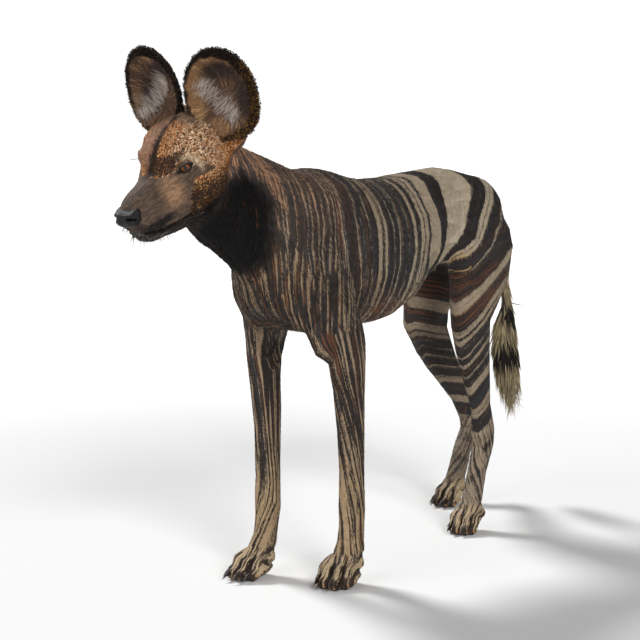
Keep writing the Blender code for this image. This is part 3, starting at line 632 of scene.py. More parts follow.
def mouth_distance(points):
    """Distance to the line between the lips, on either side, and the place along it."""
    head = frame_points(points, head_matrix())
    head[:, 1] = np.abs(head[:, 1])
    return line_distance(head, along(MOUTH_LINE, 25))


def sculpt_eyes(points):
    """Lays the lids on the eyeballs and sinks the skin behind the balls between the lids."""
    for _, sign in SIDES:
        matrix = eye_matrix(sign)
        local, gap = eye_zone(points, sign)
        far = np.linalg.norm(local, axis=1)
        lid = EYE_RADIUS + LID_THICKNESS * smooth(-0.0009, 0.0002, gap) - 0.0016 * smooth(0.0, -0.0012, gap)
        lid += 0.0008 * bell(gap - 0.0008, 0.0012)
        hood = 0.0016 * bell(gap - 0.0030, 0.0034) * smooth(0.0, 0.004, local[:, 1])
        crease = hood - 0.0010 * bell(gap - 0.0068, 0.0026) * smooth(0.0, 0.004, local[:, 1])
        bag = -0.0006 * bell(gap - 0.0058, 0.0026) * smooth(0.0, -0.004, local[:, 1])
        pull = 1.0 - smooth(0.0030, 0.0115, gap)
        target = far * (1.0 - pull) + lid * pull + crease + bag
        near = (gap < 0.02) & (far < 0.04)
        moved = local * (np.where(near, target, far) / np.maximum(far, 1e-6))[:, None]
        turn = np.array(matrix.to_3x3())
        centre = np.array(matrix @ Vector((0.0, 0.0, -EYE_RADIUS)))
        points = np.where(near[:, None], moved @ turn.T + centre, points)
    return points


def sculpt_face(points, normals):
    """Cuts the mouth and models the lips, brows, cheeks and muzzle."""
    head = frame_points(points, head_matrix())
    mirrored = columns(head[:, 0], np.abs(head[:, 1]), head[:, 2])
    on_face = smooth(-0.10, -0.06, head[:, 0]) * smooth(0.50, 0.55, points[:, 2])
    gap, place = mouth_distance(points)
    width = 0.0019 + 0.0012 * smooth(0.3, 0.95, place)
    cut = -0.0085 * bell(gap, 2.0 * width) * smooth(1.0, 0.9, place)
    below = mirrored[:, 2] - np.interp(mirrored[:, 0], [-0.003, 0.03, 0.06, 0.087, 0.106],
                                       [-0.079, -0.0770, -0.073, -0.066, -0.059])
    lips = 0.0010 * bell(gap - 0.0042, 0.0030) * smooth(-0.02, 0.0, mirrored[:, 0])
    pads = 0.0016 * blob(mirrored, (0.078, 0.024, -0.054), (0.024, 0.014, 0.012))
    whisker_rows = sum(0.0004 * bell(below - row, 0.0011) for row in (0.006, 0.010, 0.014, 0.018))
    whisker_rows = whisker_rows * blob(mirrored, (0.070, 0.028, -0.056), (0.030, 0.02, 0.018))
    brow = 0.0014 * blob(mirrored, (0.004, 0.034, 0.016), (0.020, 0.012, 0.010))
    cheek = 0.0014 * blob(mirrored, (-0.035, 0.058, -0.040), (0.030, 0.02, 0.022))
    hollow = -0.0014 * blob(mirrored, (0.022, 0.038, -0.030), (0.020, 0.014, 0.012))
    furrow = -0.0012 * bell(head[:, 1], 0.005) * smooth(-0.03, 0.01, head[:, 0])
    furrow *= smooth(0.05, 0.03, head[:, 0])
    furrow *= smooth(-0.01, 0.0, head[:, 2])
    chin = 0.0012 * blob(mirrored, (0.090, 0.008, -0.066), (0.016, 0.014, 0.008))
    grain = 0.00025 * wobble(points, 0.004, 3.0)
    push = (cut + lips + pads + whisker_rows + brow + cheek + hollow + furrow + chin + grain) * on_face
    return points + normals * push[:, None]


def sculpt_body(points, normals, shares):
    """Raises tendons, bones and muscle edges that the coat lies over."""
    push = 0.0004 * wobble(points, 0.035, 5.0) + 0.00025 * wobble(points, 0.014, 6.0)
    ridges = (
        (((0.062, -0.175, 0.655), (0.074, -0.235, 0.585), (0.082, -0.270, 0.520)), 0.016, 0.0022),
        (((0.086, -0.200, 0.470), (0.088, -0.190, 0.420)), 0.014, 0.0020),
        (((0.084, -0.262, 0.445), (0.082, -0.245, 0.330), (0.078, -0.232, 0.180)), 0.010, 0.0016),
        (((0.078, -0.190, 0.330), (0.077, -0.188, 0.190)), 0.008, 0.0016),
        (((0.085, 0.330, 0.300), (0.073, 0.325, 0.240), (0.070, 0.312, 0.200)), 0.007, 0.0022),
        (((0.077, 0.235, 0.330), (0.074, 0.262, 0.230)), 0.010, 0.0018),
        (((0.040, 0.250, 0.655), (0.062, 0.290, 0.625), (0.072, 0.330, 0.590)), 0.018, 0.0020),
        (((0.055, -0.560, 0.55), (0.050, -0.40, 0.60), (0.070, -0.29, 0.56)), 0.022, 0.0020),
    )
    for line, width, height in ridges:
        for _, sign in SIDES:
            push += height * bell(line_distance(points * (sign, 1.0, 1.0), line)[0], width)
    ribs = 0.0009 * np.cos((points[:, 1] + 0.35 * points[:, 2]) * 2.0 * math.pi / 0.031)
    cage = smooth(-0.20, -0.12, points[:, 1]) * smooth(0.09, 0.02, points[:, 1])
    cage *= smooth(0.60, 0.55, points[:, 2]) * smooth(0.035, 0.06, np.abs(points[:, 0]))
    push += ribs * cage * shares["trunk"]
    body = 1.0 - np.clip(shares["head"] + shares["ear_left"] + shares["ear_right"], 0.0, 1.0)
    return points + normals * (push * body)[:, None]


def flat_elbows(points):
    """Draws the inner sides of the elbows in, to one line with the chest."""
    for name in ("fore_left", "fore_right"):
        sign = side_sign(name)
        inward = -sign * leg_axis(points, name)[0]
        z = points[:, 2]
        zone = smooth(0.345, 0.385, z) * smooth(0.455, 0.42, z)
        zone = zone * smooth(-0.10, -0.14, points[:, 1]) * (points[:, 0] * sign > 0.0)
        room = np.interp(z, ELBOW_HEIGHTS, ELBOW_ROOM[name])
        over = np.maximum(0.0, inward - room) * zone
        points = points + columns(sign * 0.8 * over, 0.0 * over, 0.0 * over)
    z = points[:, 2]
    reach = view_reach(*leg_axis(points, "fore_right"))
    room = np.interp(z, *zip(*RIGHT_ELBOW_REACH))
    zone = smooth(0.29, 0.32, z) * smooth(0.46, 0.44, z) * (points[:, 0] < 0.0)
    zone = zone * smooth(-0.08, -0.12, points[:, 1])
    return push_right(points, -0.9 * np.maximum(0.0, reach - room) * zone)


def near_face_lines(points, width):
    """Points near the mouth and the lids, which need small faces."""
    zone = mouth_distance(points)[0] < 0.007 * width + 0.001
    for _, sign in SIDES:
        local, gap = eye_zone(points, sign)
        zone |= (gap < 0.010 * width) & (np.linalg.norm(local, axis=1) < 0.030)
    return zone


def smooth_skin(points, edges):
    """Smooths the joined flesh: least on the head and paws, most on the trunk and ankles."""
    z = points[:, 2]
    head = frame_points(points, head_matrix())
    paws = smooth(0.075, 0.050, z)
    firm = np.maximum(smooth(-0.14, -0.09, head[:, 0]) * smooth(0.50, 0.56, z), paws)
    points = relax(points, edges, 2, np.ones(len(points)))
    points = relax(points, edges, 3, 1.0 - smooth(0.075, 0.050, points[:, 2]))
    points = relax(points, edges, 22, 1.0 - firm)
    elbows = smooth(0.33, 0.39, points[:, 2]) * smooth(0.04, -0.02, points[:, 1])
    points = relax(points, edges, 70, np.maximum(smooth(0.44, 0.50, points[:, 2]), elbows) * (1.0 - firm))
    points = flat_elbows(points)
    points = relax(points, edges, 45, elbows * smooth(0.52, 0.47, points[:, 2]))
    z = points[:, 2]
    return relax(points, edges, 40, smooth(0.034, 0.052, z) * smooth(0.105, 0.085, z))


def smooth_heels(points, edges):
    """Smooths the sides of the forepaws' heels and pasterns that show in the photo."""
    z = points[:, 2]
    heels = smooth(0.008, 0.020, z) * smooth(0.105, 0.080, z) * (points[:, 1] < -0.05)
    reach = np.maximum(*(view_reach(*leg_axis(points, name)) - 10.0 * (points[:, 0] * side_sign(name) < 0.0)
                         for name in ("fore_left", "fore_right")))
    return relax(points, edges, 80, heels * smooth(0.004, 0.014, reach))


def build_skin(voxel=SKIN_VOXEL, kept=SKIN_SHARE):
    """One skin over all the flesh, thinned, refined and modelled, and inside it by the coat's depth."""
    obj = merged_flesh()
    remesh = obj.modifiers.new("one skin", "REMESH")
    remesh.mode = "VOXEL"
    remesh.voxel_size = voxel
    mesh = evaluated_mesh(obj)
    keep_largest(mesh)
    points = smooth_skin(points_of(mesh), edges_of(mesh))
    move_points(mesh, points)
    mesh = thin_mesh(obj, points, kept)
    refine(mesh, np.ones(len(mesh.vertices), dtype=bool), 0.015)
    refine(mesh, points_of(mesh)[:, 2] < 0.044, 0.0016)
    for width in (1.0, 0.5):
        refine(mesh, near_face_lines(points_of(mesh), width), 0.0012)
    shares = part_shares(mesh, 4)
    points = smooth_heels(seat_paws(points_of(mesh)), edges_of(mesh))
    move_points(mesh, points)
    points = sculpt_face(points, normals_of(mesh))
    points = sculpt_body(points, normals_of(mesh), shares)
    points = sculpt_paws(points, normals_of(mesh))
    depth = sum(COAT_DEPTH[name] * share for name, share in shares.items())
    face = frame_points(points, head_matrix())
    depth = depth + 0.0035 * throat_share(points, face) * (shares["neck"] + shares["head"])
    depth = np.where(points[:, 2] < 0.05, np.minimum(depth, 0.0008), depth)
    points = sculpt_eyes(points - normals_of(mesh) * depth[:, None])
    points[:, 2] = np.maximum(points[:, 2], 0.0)
    move_points(mesh, points)
    mesh.shade_smooth()
    return obj


def paw_fields(points):
    """Grooves between the toes, dark beds of the claws, and lengthwise coordinates for the streaks."""
    grooves = np.zeros(len(points))
    beds = np.zeros(len(points))
    flow = np.zeros((len(points), 3))
    for paw, (x, y, _, size) in PAWS.items():
        matrix, size = paw_frame(paw)
        local = frame_points(points, matrix)
        near = (np.hypot(local[:, 0], local[:, 1]) < 0.075) & (points[:, 2] < 0.075)
        across, ahead, z = local[:, 0] / size, -local[:, 1] / size, local[:, 2]
        found = np.zeros(len(points))
        for place, start in ((0.0, 0.002), (0.0172, -0.006), (-0.0172, -0.006)):
            line = place * (1.0 + 0.15 * smooth(0.0, 0.03, ahead))
            share = bell(across - line, 0.0036) * smooth(start, start + 0.016, ahead)
            share *= smooth(0.046, 0.034, z)
            found = np.maximum(found, share)
        grooves = np.where(near, np.maximum(grooves, found), grooves)
        for toe, tip, radius in toes(1.0):
            place = columns(across - toe, ahead - tip - radius * 0.7, z - 0.012)
            reach = np.linalg.norm(place / (0.0062, 0.012, 0.010), axis=1)
            beds = np.where(near, np.maximum(beds, 1.0 - smooth(0.7, 1.3, reach)), beds)
        streams = columns(STREAKS * 2.4 * across + 11.0 * x, 0.0 * z + 60.0 * y, 9.0 * (ahead - z))
        flow = np.where(near[:, None], streams, flow)
    return grooves, beds, flow


def seat_paws(points):
    """Seats the forepaws under the legs and brings the legs' rear outlines to those of the photo."""
    levels = np.linspace(0.002, 0.150, 60)
    windows = np.interp(levels, (0.045, 0.065), (0.0028, 0.0060))
    for name, (shift_x, shift_y), rises in FORELEG_OUTLINES:
        across, behind = leg_axis(points, name)
        z = points[:, 2]
        near = (np.abs(across) < 0.05) & (np.abs(behind) < 0.085) & (points[:, 0] * side_sign(name) > 0.0)
        low = near * smooth(0.14, 0.05, z)
        points = points + columns(low * shift_x, low * shift_y, 0.0 * low)
        reach = view_reach(across + low * shift_x, behind + low * shift_y)
        found = [np.max(reach[near & (np.abs(z - level) < window)]) for level, window in zip(levels, windows)]
        found = np.convolve(np.pad(found, 1, mode="edge"), (0.25, 0.5, 0.25), mode="valid")
        wanted = np.interp(OUTLINE_HEIGHTS[-1], levels, found) + np.interp(levels, OUTLINE_HEIGHTS, rises)
        share = np.clip(np.interp(z, levels, wanted / found), 0.6, 1.8)
        points = push_right(points, near * (share - 1.0) * np.maximum(reach, 0.0) * smooth(0.140, 0.110, z))
    thigh = (points[:, 0] < 0.0) & (points[:, 1] > 0.15)
    reach = view_reach(*leg_axis(points, "hind_right"))
    fill = thigh * 0.018 * smooth(0.0, 0.045, reach) * bell(points[:, 2] - 0.420, 0.065)
    return push_right(points, fill)


def sculpt_paws(points, normals):
    """Parts the toes, arches their knuckles and fills the heel."""
    grooves = paw_fields(points)[0]
    push = -0.0062 * grooves * smooth(0.003, 0.010, points[:, 2])
    for paw in PAWS:
        matrix, size = paw_frame(paw)
        local = frame_points(points, matrix)
        for toe, tip, _ in toes(size):
            place = columns(local[:, 0] - toe, -local[:, 1] - tip + 0.013, local[:, 2] - 0.030)
            push += 0.0026 * (1.0 - smooth(0.5, 1.1, np.linalg.norm(place / (0.010, 0.016, 0.014), axis=1)))
        if paw.startswith("fore"):
            heel = local - (0.0, 0.026, 0.022)
            push += 0.0030 * (1.0 - smooth(0.4, 1.2, np.linalg.norm(heel / (0.024, 0.018, 0.022), axis=1)))
    return points + normals * push[:, None]


# Markings: fields over the skin that its finish and the coat's finish both read

def throat_share(points, head):
    """The long dark hair of the cheek and throat."""
    y, z = points[:, 1], points[:, 2]
    rear = smooth(-0.372, -0.402, y + 0.012 * wobble(points, 0.03, 8.0) + 0.5 * np.maximum(z - 0.655, 0.0))
    below = smooth(-0.040, -0.066, head[:, 2] + 0.006 * wobble(points, 0.015, 9.0))
    back = smooth(0.012, -0.020, head[:, 0])
    return rear * np.where(head[:, 0] > -0.11, below * back, smooth(0.700, 0.672, z))


def leg_axis(points, name):
    """Each point's place from the middle line of a leg, across and along the body."""
    axis = np.array(LEG_AXES[name])[::-1]
    x = np.interp(points[:, 2], axis[:, 2], axis[:, 0])
    y = np.interp(points[:, 2], axis[:, 2], axis[:, 1])
    return points[:, 0] - x, points[:, 1] - y


def ring_coordinate(points):
    """Place along the body, in metres behind the withers, along which the bands follow each other."""
    y, z = points[:, 1], points[:, 2]
    lean = np.interp(y, [-0.37, -0.29, -0.23], [0.0, 0.25, 0.0])
    bulge = np.interp(y, [-0.28, -0.20, -0.14, -0.09, 0.0], [0.0, 2.0, 0.7, 0.2, -0.4])
    plain = y - lean * (z - 0.60) - bulge * np.maximum(0.0, 0.64 - z) ** 2
    angle = np.degrees(np.arctan2(z - FLANK_PIVOT[1], y - FLANK_PIVOT[0]))
    angle = np.where(angle < -100.0, angle + 360.0, angle)
    fan = np.interp(angle, FAN_ANGLES, FAN_PLACES)
    fanned = smooth(0.03, 0.09, y) * np.maximum(smooth(0.47, 0.53, z), smooth(0.14, 0.18, y))
    return plain + (fan - plain) * fanned


def hind_coordinate(points, name):
    """The same coordinate on a hind leg, where the bands rise to the rear behind its front ridge."""
    across, behind = leg_axis(points, name)
    side = side_sign(name)
    z = points[:, 2]
    front = np.interp(z, *zip(*LEFT_RIDGE)) + leg_axis(points, "hind_left")[1] - behind
    outer = smooth(-0.012, 0.014, across * side)
    inner_slope = 0.30 if name.endswith("left") else -0.20
    slope = inner_slope + (0.62 - inner_slope) * outer
    run = points[:, 1] - front + 0.9 * np.abs(across + side * 0.004) * smooth(0.55, 0.42, z)
    return 0.843 - (z - slope * run)


def band_field(place, edges, reach):
    """Signed distance from the nearest edge of a band, over a reach, positive in the pale ones."""
    field = np.full(len(place), -1.0)
    for low, high in edges:
        field = np.maximum(field, np.minimum(place - low, high - place) / reach)
    return np.clip(field, -1.0, 1.0)


def paint(base, mask, value):
    """Lays a value, or rows of values, over the base where the mask is."""
    mask = np.asarray(mask)
    if base.ndim == 2:
        mask = mask[:, None]
    return base + mask * (np.array(value) - base)


def colour(code):
    """A colour code as an array in linear light."""
    return np.array(linear(code))


def lay(fields, mask, **values):
    """Lays colours and numbers over the fields of their names where the mask is."""
    for name, value in values.items():
        fields[name] = paint(fields[name], mask, colour(value) if isinstance(value, str) else value)


def survey(mesh):
    """What the markings and the coat need to know about the skin's points."""
    points = points_of(mesh)
    at = SimpleNamespace(points=points, normals=normals_of(mesh))
    at.near, at.soft = part_shares(mesh, 3), part_shares(mesh, 24)
    at.x, at.y, at.z = points.T
    at.head = frame_points(points, head_matrix())
    at.forward, at.left, at.up = at.head.T
    at.side = np.abs(at.left)
    at.ring = ring_coordinate(points)
    at.ring = at.ring + 0.0035 * wobble(points, 0.05, 1.0) + 0.0012 * wobble(points, 0.012, 2.0)
    at.hinds = np.clip(at.soft["hind_left"] + at.soft["hind_right"], 0.0, 1.0)
    at.fores = np.clip(at.soft["fore_left"] + at.soft["fore_right"], 0.0, 1.0)
    at.facing = smooth(0.20, 0.65, -at.normals[:, 1]) * smooth(-0.18, -0.26, at.y)
    at.front_low = smooth(0.56, 0.50, at.z) * smooth(-0.09, -0.15, at.y)
    return at


def leg_flow(at, limb):
    """Coordinates round and along each leg, over those of the limbs."""
    x, y, z = at.x, at.y, at.z
    twists = {
        "fore_left": 9.0 * np.maximum(0.0, 0.36 - z),
        "fore_right": np.interp(z, [0.0, 0.15, 0.38], [1.0, -0.70, 0.0]),
        "hind_left": 24.0 * np.maximum(0.0, 0.24 - z),
        "hind_right": 24.0 * np.maximum(0.0, 0.24 - z),
    }
    girth = 0.027 * LIMB_STREAKS
    for name, twist in twists.items():
        across, behind = leg_axis(at.points, name)
        sign = side_sign(name)
        around = np.arctan2(behind, across) - sign * twist
        mine = (x * sign > 0.0) & ((y < -0.05) if name.startswith("fore") else (y > 0.05))
        own = columns(girth * np.cos(around), girth * np.sin(around) + 40.0 * sign, 3.6 * z)
        limb = np.where(mine[:, None], own, limb)
    return limb


def streak_fields(at):
    """Coordinates that the streaks of trunk and limbs follow, the limbs' share, and the bands' place."""
    x, y, z, points, near, soft, ring = at.x, at.y, at.z, at.points, at.near, at.soft, at.ring
    fine_ring = ring + 0.45 * np.minimum(0.0, ring + 0.22) + 0.25 * np.minimum(0.0, ring - 0.02)
    flow = columns(STREAKS * fine_ring, 2.6 * z, 2.6 * x)
    around = np.arctan2(x, -(y + 0.125))
    girth = 0.20 * LIMB_STREAKS
    limb = columns(girth * np.sin(around), girth * np.cos(around), 7.0 * z)
    legs = leg_flow(at, limb)
    limb = np.where((y > 0.05)[:, None], legs, limb)
    limb_share = np.maximum(at.facing * smooth(0.64, 0.58, z), at.front_low)
    band = ring.copy()
    for name in ("hind_left", "hind_right"):
        low = hind_coordinate(points, name)
        low = low + 0.0030 * wobble(points, 0.04, 4.0) + 0.001 * wobble(points, 0.01, 5.0)
        share = smooth(0.05, 0.55, soft[name]) * smooth(0.575, 0.50, z)
        share = np.maximum(share, smooth(0.5, 0.9, soft[name]) * smooth(0.50, 0.46, z))
        band = paint(band, share, low)
        flow = paint(flow, share, columns(STREAKS * 1.25 * low, 3.0 * y, 3.0 * x))
    on_leg = smooth(0.1, 0.4, at.fores) * smooth(0.455, 0.415, z) * smooth(0.058, 0.064, z)
    foreleg = at.fores > 0.02
    flow = np.where((foreleg & (z < 0.47))[:, None], legs, flow)
    limb = np.where((foreleg & (z < 0.10))[:, None], legs, limb)
    limb_share = np.maximum(limb_share, smooth(0.47, 0.44, z) * smooth(0.02, 0.2, at.fores)) * (1.0 - on_leg)
    limb_share = np.maximum(limb_share, at.fores * smooth(0.075, 0.068, z))
    limb_share = np.maximum(limb_share, at.hinds * smooth(0.235, 0.175, z)) * smooth(0.046, 0.060, z)
    limb_share = limb_share * (1.0 - near["tail"]) * (1.0 - near["head"])
    tail_y = np.interp(-z, [-height for _, height in TAIL_AXIS], [place for place, _ in TAIL_AXIS])
    flow = paint(flow, near["tail"], columns(150.0 * (y - tail_y), 9.0 * z, 150.0 * x))
    face = columns(240.0 * at.up, 45.0 * at.forward, 240.0 * at.left)
    flow = paint(flow, np.clip(soft["head"], 0.0, 1.0), face)
    for name, sign in SIDES:
        ear = frame_points(points, ear_matrix(name, sign))
        turn = np.arctan2(ear[:, 1] + 0.02, ear[:, 0])
        fine = columns(9.0 * turn, 30.0 * np.hypot(ear[:, 0], ear[:, 1]), 30.0 * ear[:, 2])
        flow = paint(flow, near["ear_" + name], fine)
    return {"flow": flow, "limb": limb, "limb_share": limb_share, "band": band}


def start_fields(at):
    """The plain coat: colours and shares of its hair, and the bands' weight."""
    size = len(at.points)
    fields = streak_fields(at)
    band = fields["band"]
    weight = smooth(-0.26, -0.22, band) * 0.34 + 0.50 * smooth(0.02, 0.09, band)
    weight = (weight - 0.40 * smooth(0.33, 0.42, band)) * np.clip(at.soft["trunk"] + at.hinds, 0.0, 1.0)
    fields.update(
        ground=np.tile(colour("#2b2624"), (size, 1)), pale=np.tile(colour("#9c8d77"), (size, 1)),
        share=0.43 + 0.10 * wobble(at.points, 0.06, 15.0), rust=0.24 + 0.14 * wobble(at.points, 0.07, 16.0),
        grain=np.zeros(size), curl=np.zeros(size), weight=weight)
    return fields


def mark_body(fields, at):
    """Shoulder, nape, croup, flank, belly and breast."""
    x, y, z, points, soft, ring = at.x, at.y, at.z, at.points, at.soft, at.ring
    shoulder = smooth(-0.15, -0.23, ring) * (soft["trunk"] + soft["neck"])
    lay(fields, shoulder * (0.55 + 0.3 * wobble(points, 0.04, 3.0)), ground="#342b26")
    lay(fields, shoulder * smooth(0.50, 0.60, z), share=0.26)
    lay(fields, shoulder, pale="#9b8872", rust=0.30)
    lay(fields, soft["neck"] * 0.8, ground="#453d38")
    nape = soft["neck"] * smooth(0.585, 0.68, z)
    lay(fields, nape, ground="#4b433e", pale="#bb8864", share=0.46)
    lay(fields, nape * bell(y + 0.371 - 0.05 * (z - 0.65), 0.014), share=0.62)
    croup = smooth(0.05, 0.12, ring) * smooth(0.36, 0.30, ring) * (soft["trunk"] + at.hinds)
    lay(fields, croup, pale="#aa9c87")
    lay(fields, croup * smooth(0.30, 0.24, ring), rust=0.10)
    lay(fields, croup * 0.5, ground="#272323")
    fold = blob(columns(np.abs(x), y, z), (0.080, 0.175, 0.505), (0.04, 0.045, 0.030))
    lay(fields, 0.7 * fold, pale="#a5834f")
    belly = smooth(0.50, 0.455, z) * soft["trunk"] * smooth(-0.2, -0.1, y)
    lay(fields, belly, rust=0.55)
    lay(fields, belly * 0.6, ground="#4a3526")
    chest = np.clip(at.facing * smooth(0.60, 0.56, z) * (soft["trunk"] + soft["neck"]) * 1.4, 0.0, 1.0)
    breast = smooth(0.35, 0.75, -at.normals[:, 1]) * chest + at.front_low * (1.0 - at.fores)
    lay(fields, np.clip(breast, 0.0, 1.0), pale="#857057", ground="#2b241f", share=0.36, rust=0.40)


def mark_legs(fields, at):
    """Legs and paws, with painted shade in the grooves between the toes."""
    x, z, points, fores, hinds = at.x, at.z, at.points, at.fores, at.hinds
    share = 0.37 + 0.07 * wobble(points, 0.03, 12.0) - 0.06 * (x < 0.0)
    lay(fields, fores, pale="#988168", ground="#2a2522", share=share, rust=0.20 + 0.14 * (x > 0.0))
    lay(fields, fores * smooth(0.26, 0.14, z), share=0.54 + 0.06 * wobble(points, 0.05, 13.0), pale="#a58d6e")
    behind = np.where(x > 0, leg_axis(points, "fore_left")[1], leg_axis(points, "fore_right")[1])
    rear = fores * smooth(0.0, 0.018, behind)
    lay(fields, rear * smooth(0.36, 0.32, z) * smooth(0.12, 0.2, z), share=0.46)
    lay(fields, hinds * smooth(0.52, 0.42, z), pale="#948470")
    lay(fields, hinds * smooth(0.50, 0.45, z), share=0.38)
    lay(fields, hinds * smooth(0.20, 0.15, z), share=0.46, weight=0.12)
    lay(fields, hinds * (x < 0.0) * 0.5, pale="#6c5f4e")
    lay(fields, hinds * smooth(0.53, 0.50, z) * smooth(0.40, 0.45, z), rust=0.55)
    lay(fields, hinds * smooth(0.42, 0.38, z), rust=0.22)
    paws = smooth(0.060, 0.040, z)
    lay(fields, paws, pale="#b29d7e", ground="#3a2f28", share=0.52, rust=0.12, weight=0.0)
    grooves, claw_beds, paw_flow = paw_fields(points)
    fields["flow"] = np.where((z < 0.062)[:, None], paw_flow, fields["flow"])
    lay(fields, paws * claw_beds, share=0.28)
    lay(fields, paws * smooth(0.016, 0.008, z) * 0.6, pale="#a2713f")
    # Painted shade: the grooves between the toes, which are also cut into the skin, are coloured near black.
    lay(fields, paws * grooves, ground="#120e0c", share=0.0)
    lay(fields, smooth(0.0045, 0.002, z), ground="#1a1514", share=0.0)


def mark_tail_and_throat(fields, at):
    """Rings of the tail, and the dark throat and cheeks."""
    tail = at.near["tail"]
    field = band_field(at.z + 0.004 * wobble(at.points, 0.012, 7.0), TAIL_BAND_EDGES, 0.010)
    fields["band"] = np.where(tail > 0.5, BAND_EDGES[-1][0] + 0.010 * field, fields["band"])
    lay(fields, tail, weight=0.80, pale="#97896b", ground="#221d1b", rust=0.0, share=0.5)
    at.throat = throat_share(at.points, at.head) * (at.soft["neck"] + at.near["head"])
    lay(fields, at.throat, ground="#0b0807", pale="#271c16", share=0.06, rust=0.05)


def mark_forehead(fields, at):
    """Ochre forehead with dark grains, pale right half, crown and dark middle stripe."""
    points, forward, left, up, side = at.points, at.forward, at.left, at.up, at.side
    face = np.clip(at.near["head"] * (1.0 - at.throat), 0.0, 1.0)
    lay(fields, face, ground="#4a3b31", pale="#5f4d40", share=0.45, rust=0.0)
    lay(fields, at.near["head"], weight=0.0)
    jitter = 0.0035 * wobble(points, 0.006, 21.0) + 0.0025 * wobble(points, 0.014, 22.0)
    bound = 0.036 - 17.5 * side ** 2 - 0.006 * bell(side - 0.043, 0.014)
    bound = np.maximum(bound, np.interp(-up, [0.015, 0.02, 0.045, 0.06], [-0.2, -0.006, 0.011, 0.010]))
    at.ochre = ochre = smooth(0.0015, -0.0015, forward - bound + jitter) * face
    lay(fields, ochre, ground="#8e5220", pale="#d8ab7a", share=0.46, grain=0.20, curl=1.0)
    lay(fields, ochre * smooth(0.005, 0.040, left) * smooth(-0.03, 0.0, up), pale="#ecd4b2")
    lower = smooth(-0.018, -0.052, up) * ochre
    brow_depth = np.interp(side, [0.0, 0.017, 0.030, 0.040, 0.050], [0.025, 0.020, 0.010, 0.006, 0.0])
    inner = smooth(0.003, -0.003, bound - forward - (brow_depth + 0.6 * jitter)) * smooth(-0.006, 0.002, up)
    dark_edge = np.maximum(lower, 0.86 * inner * ochre * smooth(-0.006, 0.004, left))
    lay(fields, np.clip(dark_edge, 0.0, 1.0), grain=0.86, share=0.25)
    lay(fields, lower, pale="#a9834f", ground="#5c3a1e")
    fringe = smooth(-0.055, -0.085, forward) * smooth(0.02, 0.0, up) * ochre
    lay(fields, fringe, ground="#b06a26", share=0.30)
    peach = smooth(0.004, -0.004, left + 0.001 + jitter) * smooth(-0.045, -0.03, left)
    peach *= smooth(0.0, 0.015, up)
    crown = smooth(-0.040, -0.058, forward) * smooth(0.040, 0.050, up) * face
    peach = np.maximum(peach * smooth(0.05, 0.03, forward) * face, crown)
    lay(fields, peach, ground="#84604a", pale="#a07c60", grain=0.0, curl=0.15)
    lay(fields, crown, ground="#6a574b")
    stripe = 0.85 * bell(left + 0.002 + 0.4 * jitter, 0.0060 + 0.006 * smooth(-0.03, 0.02, forward))
    stripe *= smooth(0.046, 0.034, forward) * smooth(-0.07, -0.05, forward) * smooth(-0.01, 0.0, up) * face
    lay(fields, stripe, grain=0.75, ground="#1d1714", share=0.05)
    lay(fields, stripe * 0.8, curl=0.3)
    return face * (1.0 - ochre)


def mark_muzzle(fields, at, muzzle):
    """Muzzle, eye surrounds, whisker beds, jaw and lips."""
    points, forward, up, face = at.points, at.forward, at.up, at.near["head"]
    mirrored = columns(forward, at.side, up)
    tan = blob(mirrored, (0.031, 0.036, -0.026), (0.017, 0.018, 0.022), 0.8) * muzzle
    lay(fields, tan, ground="#7d5f47", pale="#9a7a5d", share=0.50)
    bridge = blob(mirrored, (0.080, 0.0, -0.010), (0.036, 0.014, 0.016), 0.5) * muzzle
    lay(fields, bridge * 0.8, ground="#3a2f28", pale="#5a4a3e")
    lay(fields, smooth(0.070, 0.100, forward) * muzzle * 0.6, ground="#3b3029")
    gap = np.minimum(*(eye_zone(points, sign)[1] for _, sign in SIDES))
    around = 1.0 - smooth(0.003, 0.011, gap)
    rim = 1.0 - smooth(0.0018, 0.0042, gap)
    tear = bell(line_distance(mirrored, TEAR_LINE)[0], 0.0042)
    arc, place = line_distance(mirrored * ARC_FLATTER, np.array(ARC_LINE) * ARC_FLATTER)
    arc = np.clip(1.6 * bell(arc, 0.0068 - 0.0016 * place) * (1.0 - 0.60 * place), 0.0, 1.0) * face
    lay(fields, around * 0.8 * face, ground="#41362f")
    lay(fields, arc, ground="#b39a7c", pale="#d8c2a2", curl=0.0)
    lay(fields, np.maximum(arc, around * 0.8), grain=0.0)
    lay(fields, np.clip(rim + 0.30 * tear, 0.0, 1.0) * face, ground="#130f0e", share=0.0)
    bed = blob(mirrored, (0.068, 0.029, -0.0585), (0.032, 0.02, 0.0085)) * face
    lay(fields, bed, ground="#191513", pale="#4a443f", share=0.25)
    line_height = np.interp(forward, *zip(*JAW_TOP))
    jaw = smooth(0.0015, -0.0015, up - line_height) * smooth(-0.03, -0.005, forward) * face
    lay(fields, jaw, ground="#1b1716", pale="#6b645d", share=0.34 + 0.08 * smooth(0.05, 0.09, forward))
    at.mouth_gap, place = mouth_distance(points)
    lay(fields, (1.0 - smooth(0.0030, 0.0052, at.mouth_gap)) * face, ground="#151110", share=0.0)
    lining = (1.0 - smooth(0.0012, 0.0024, at.mouth_gap)) * smooth(0.45, 0.75, place) * face
    lay(fields, lining * 0.8, ground="#4a352c")


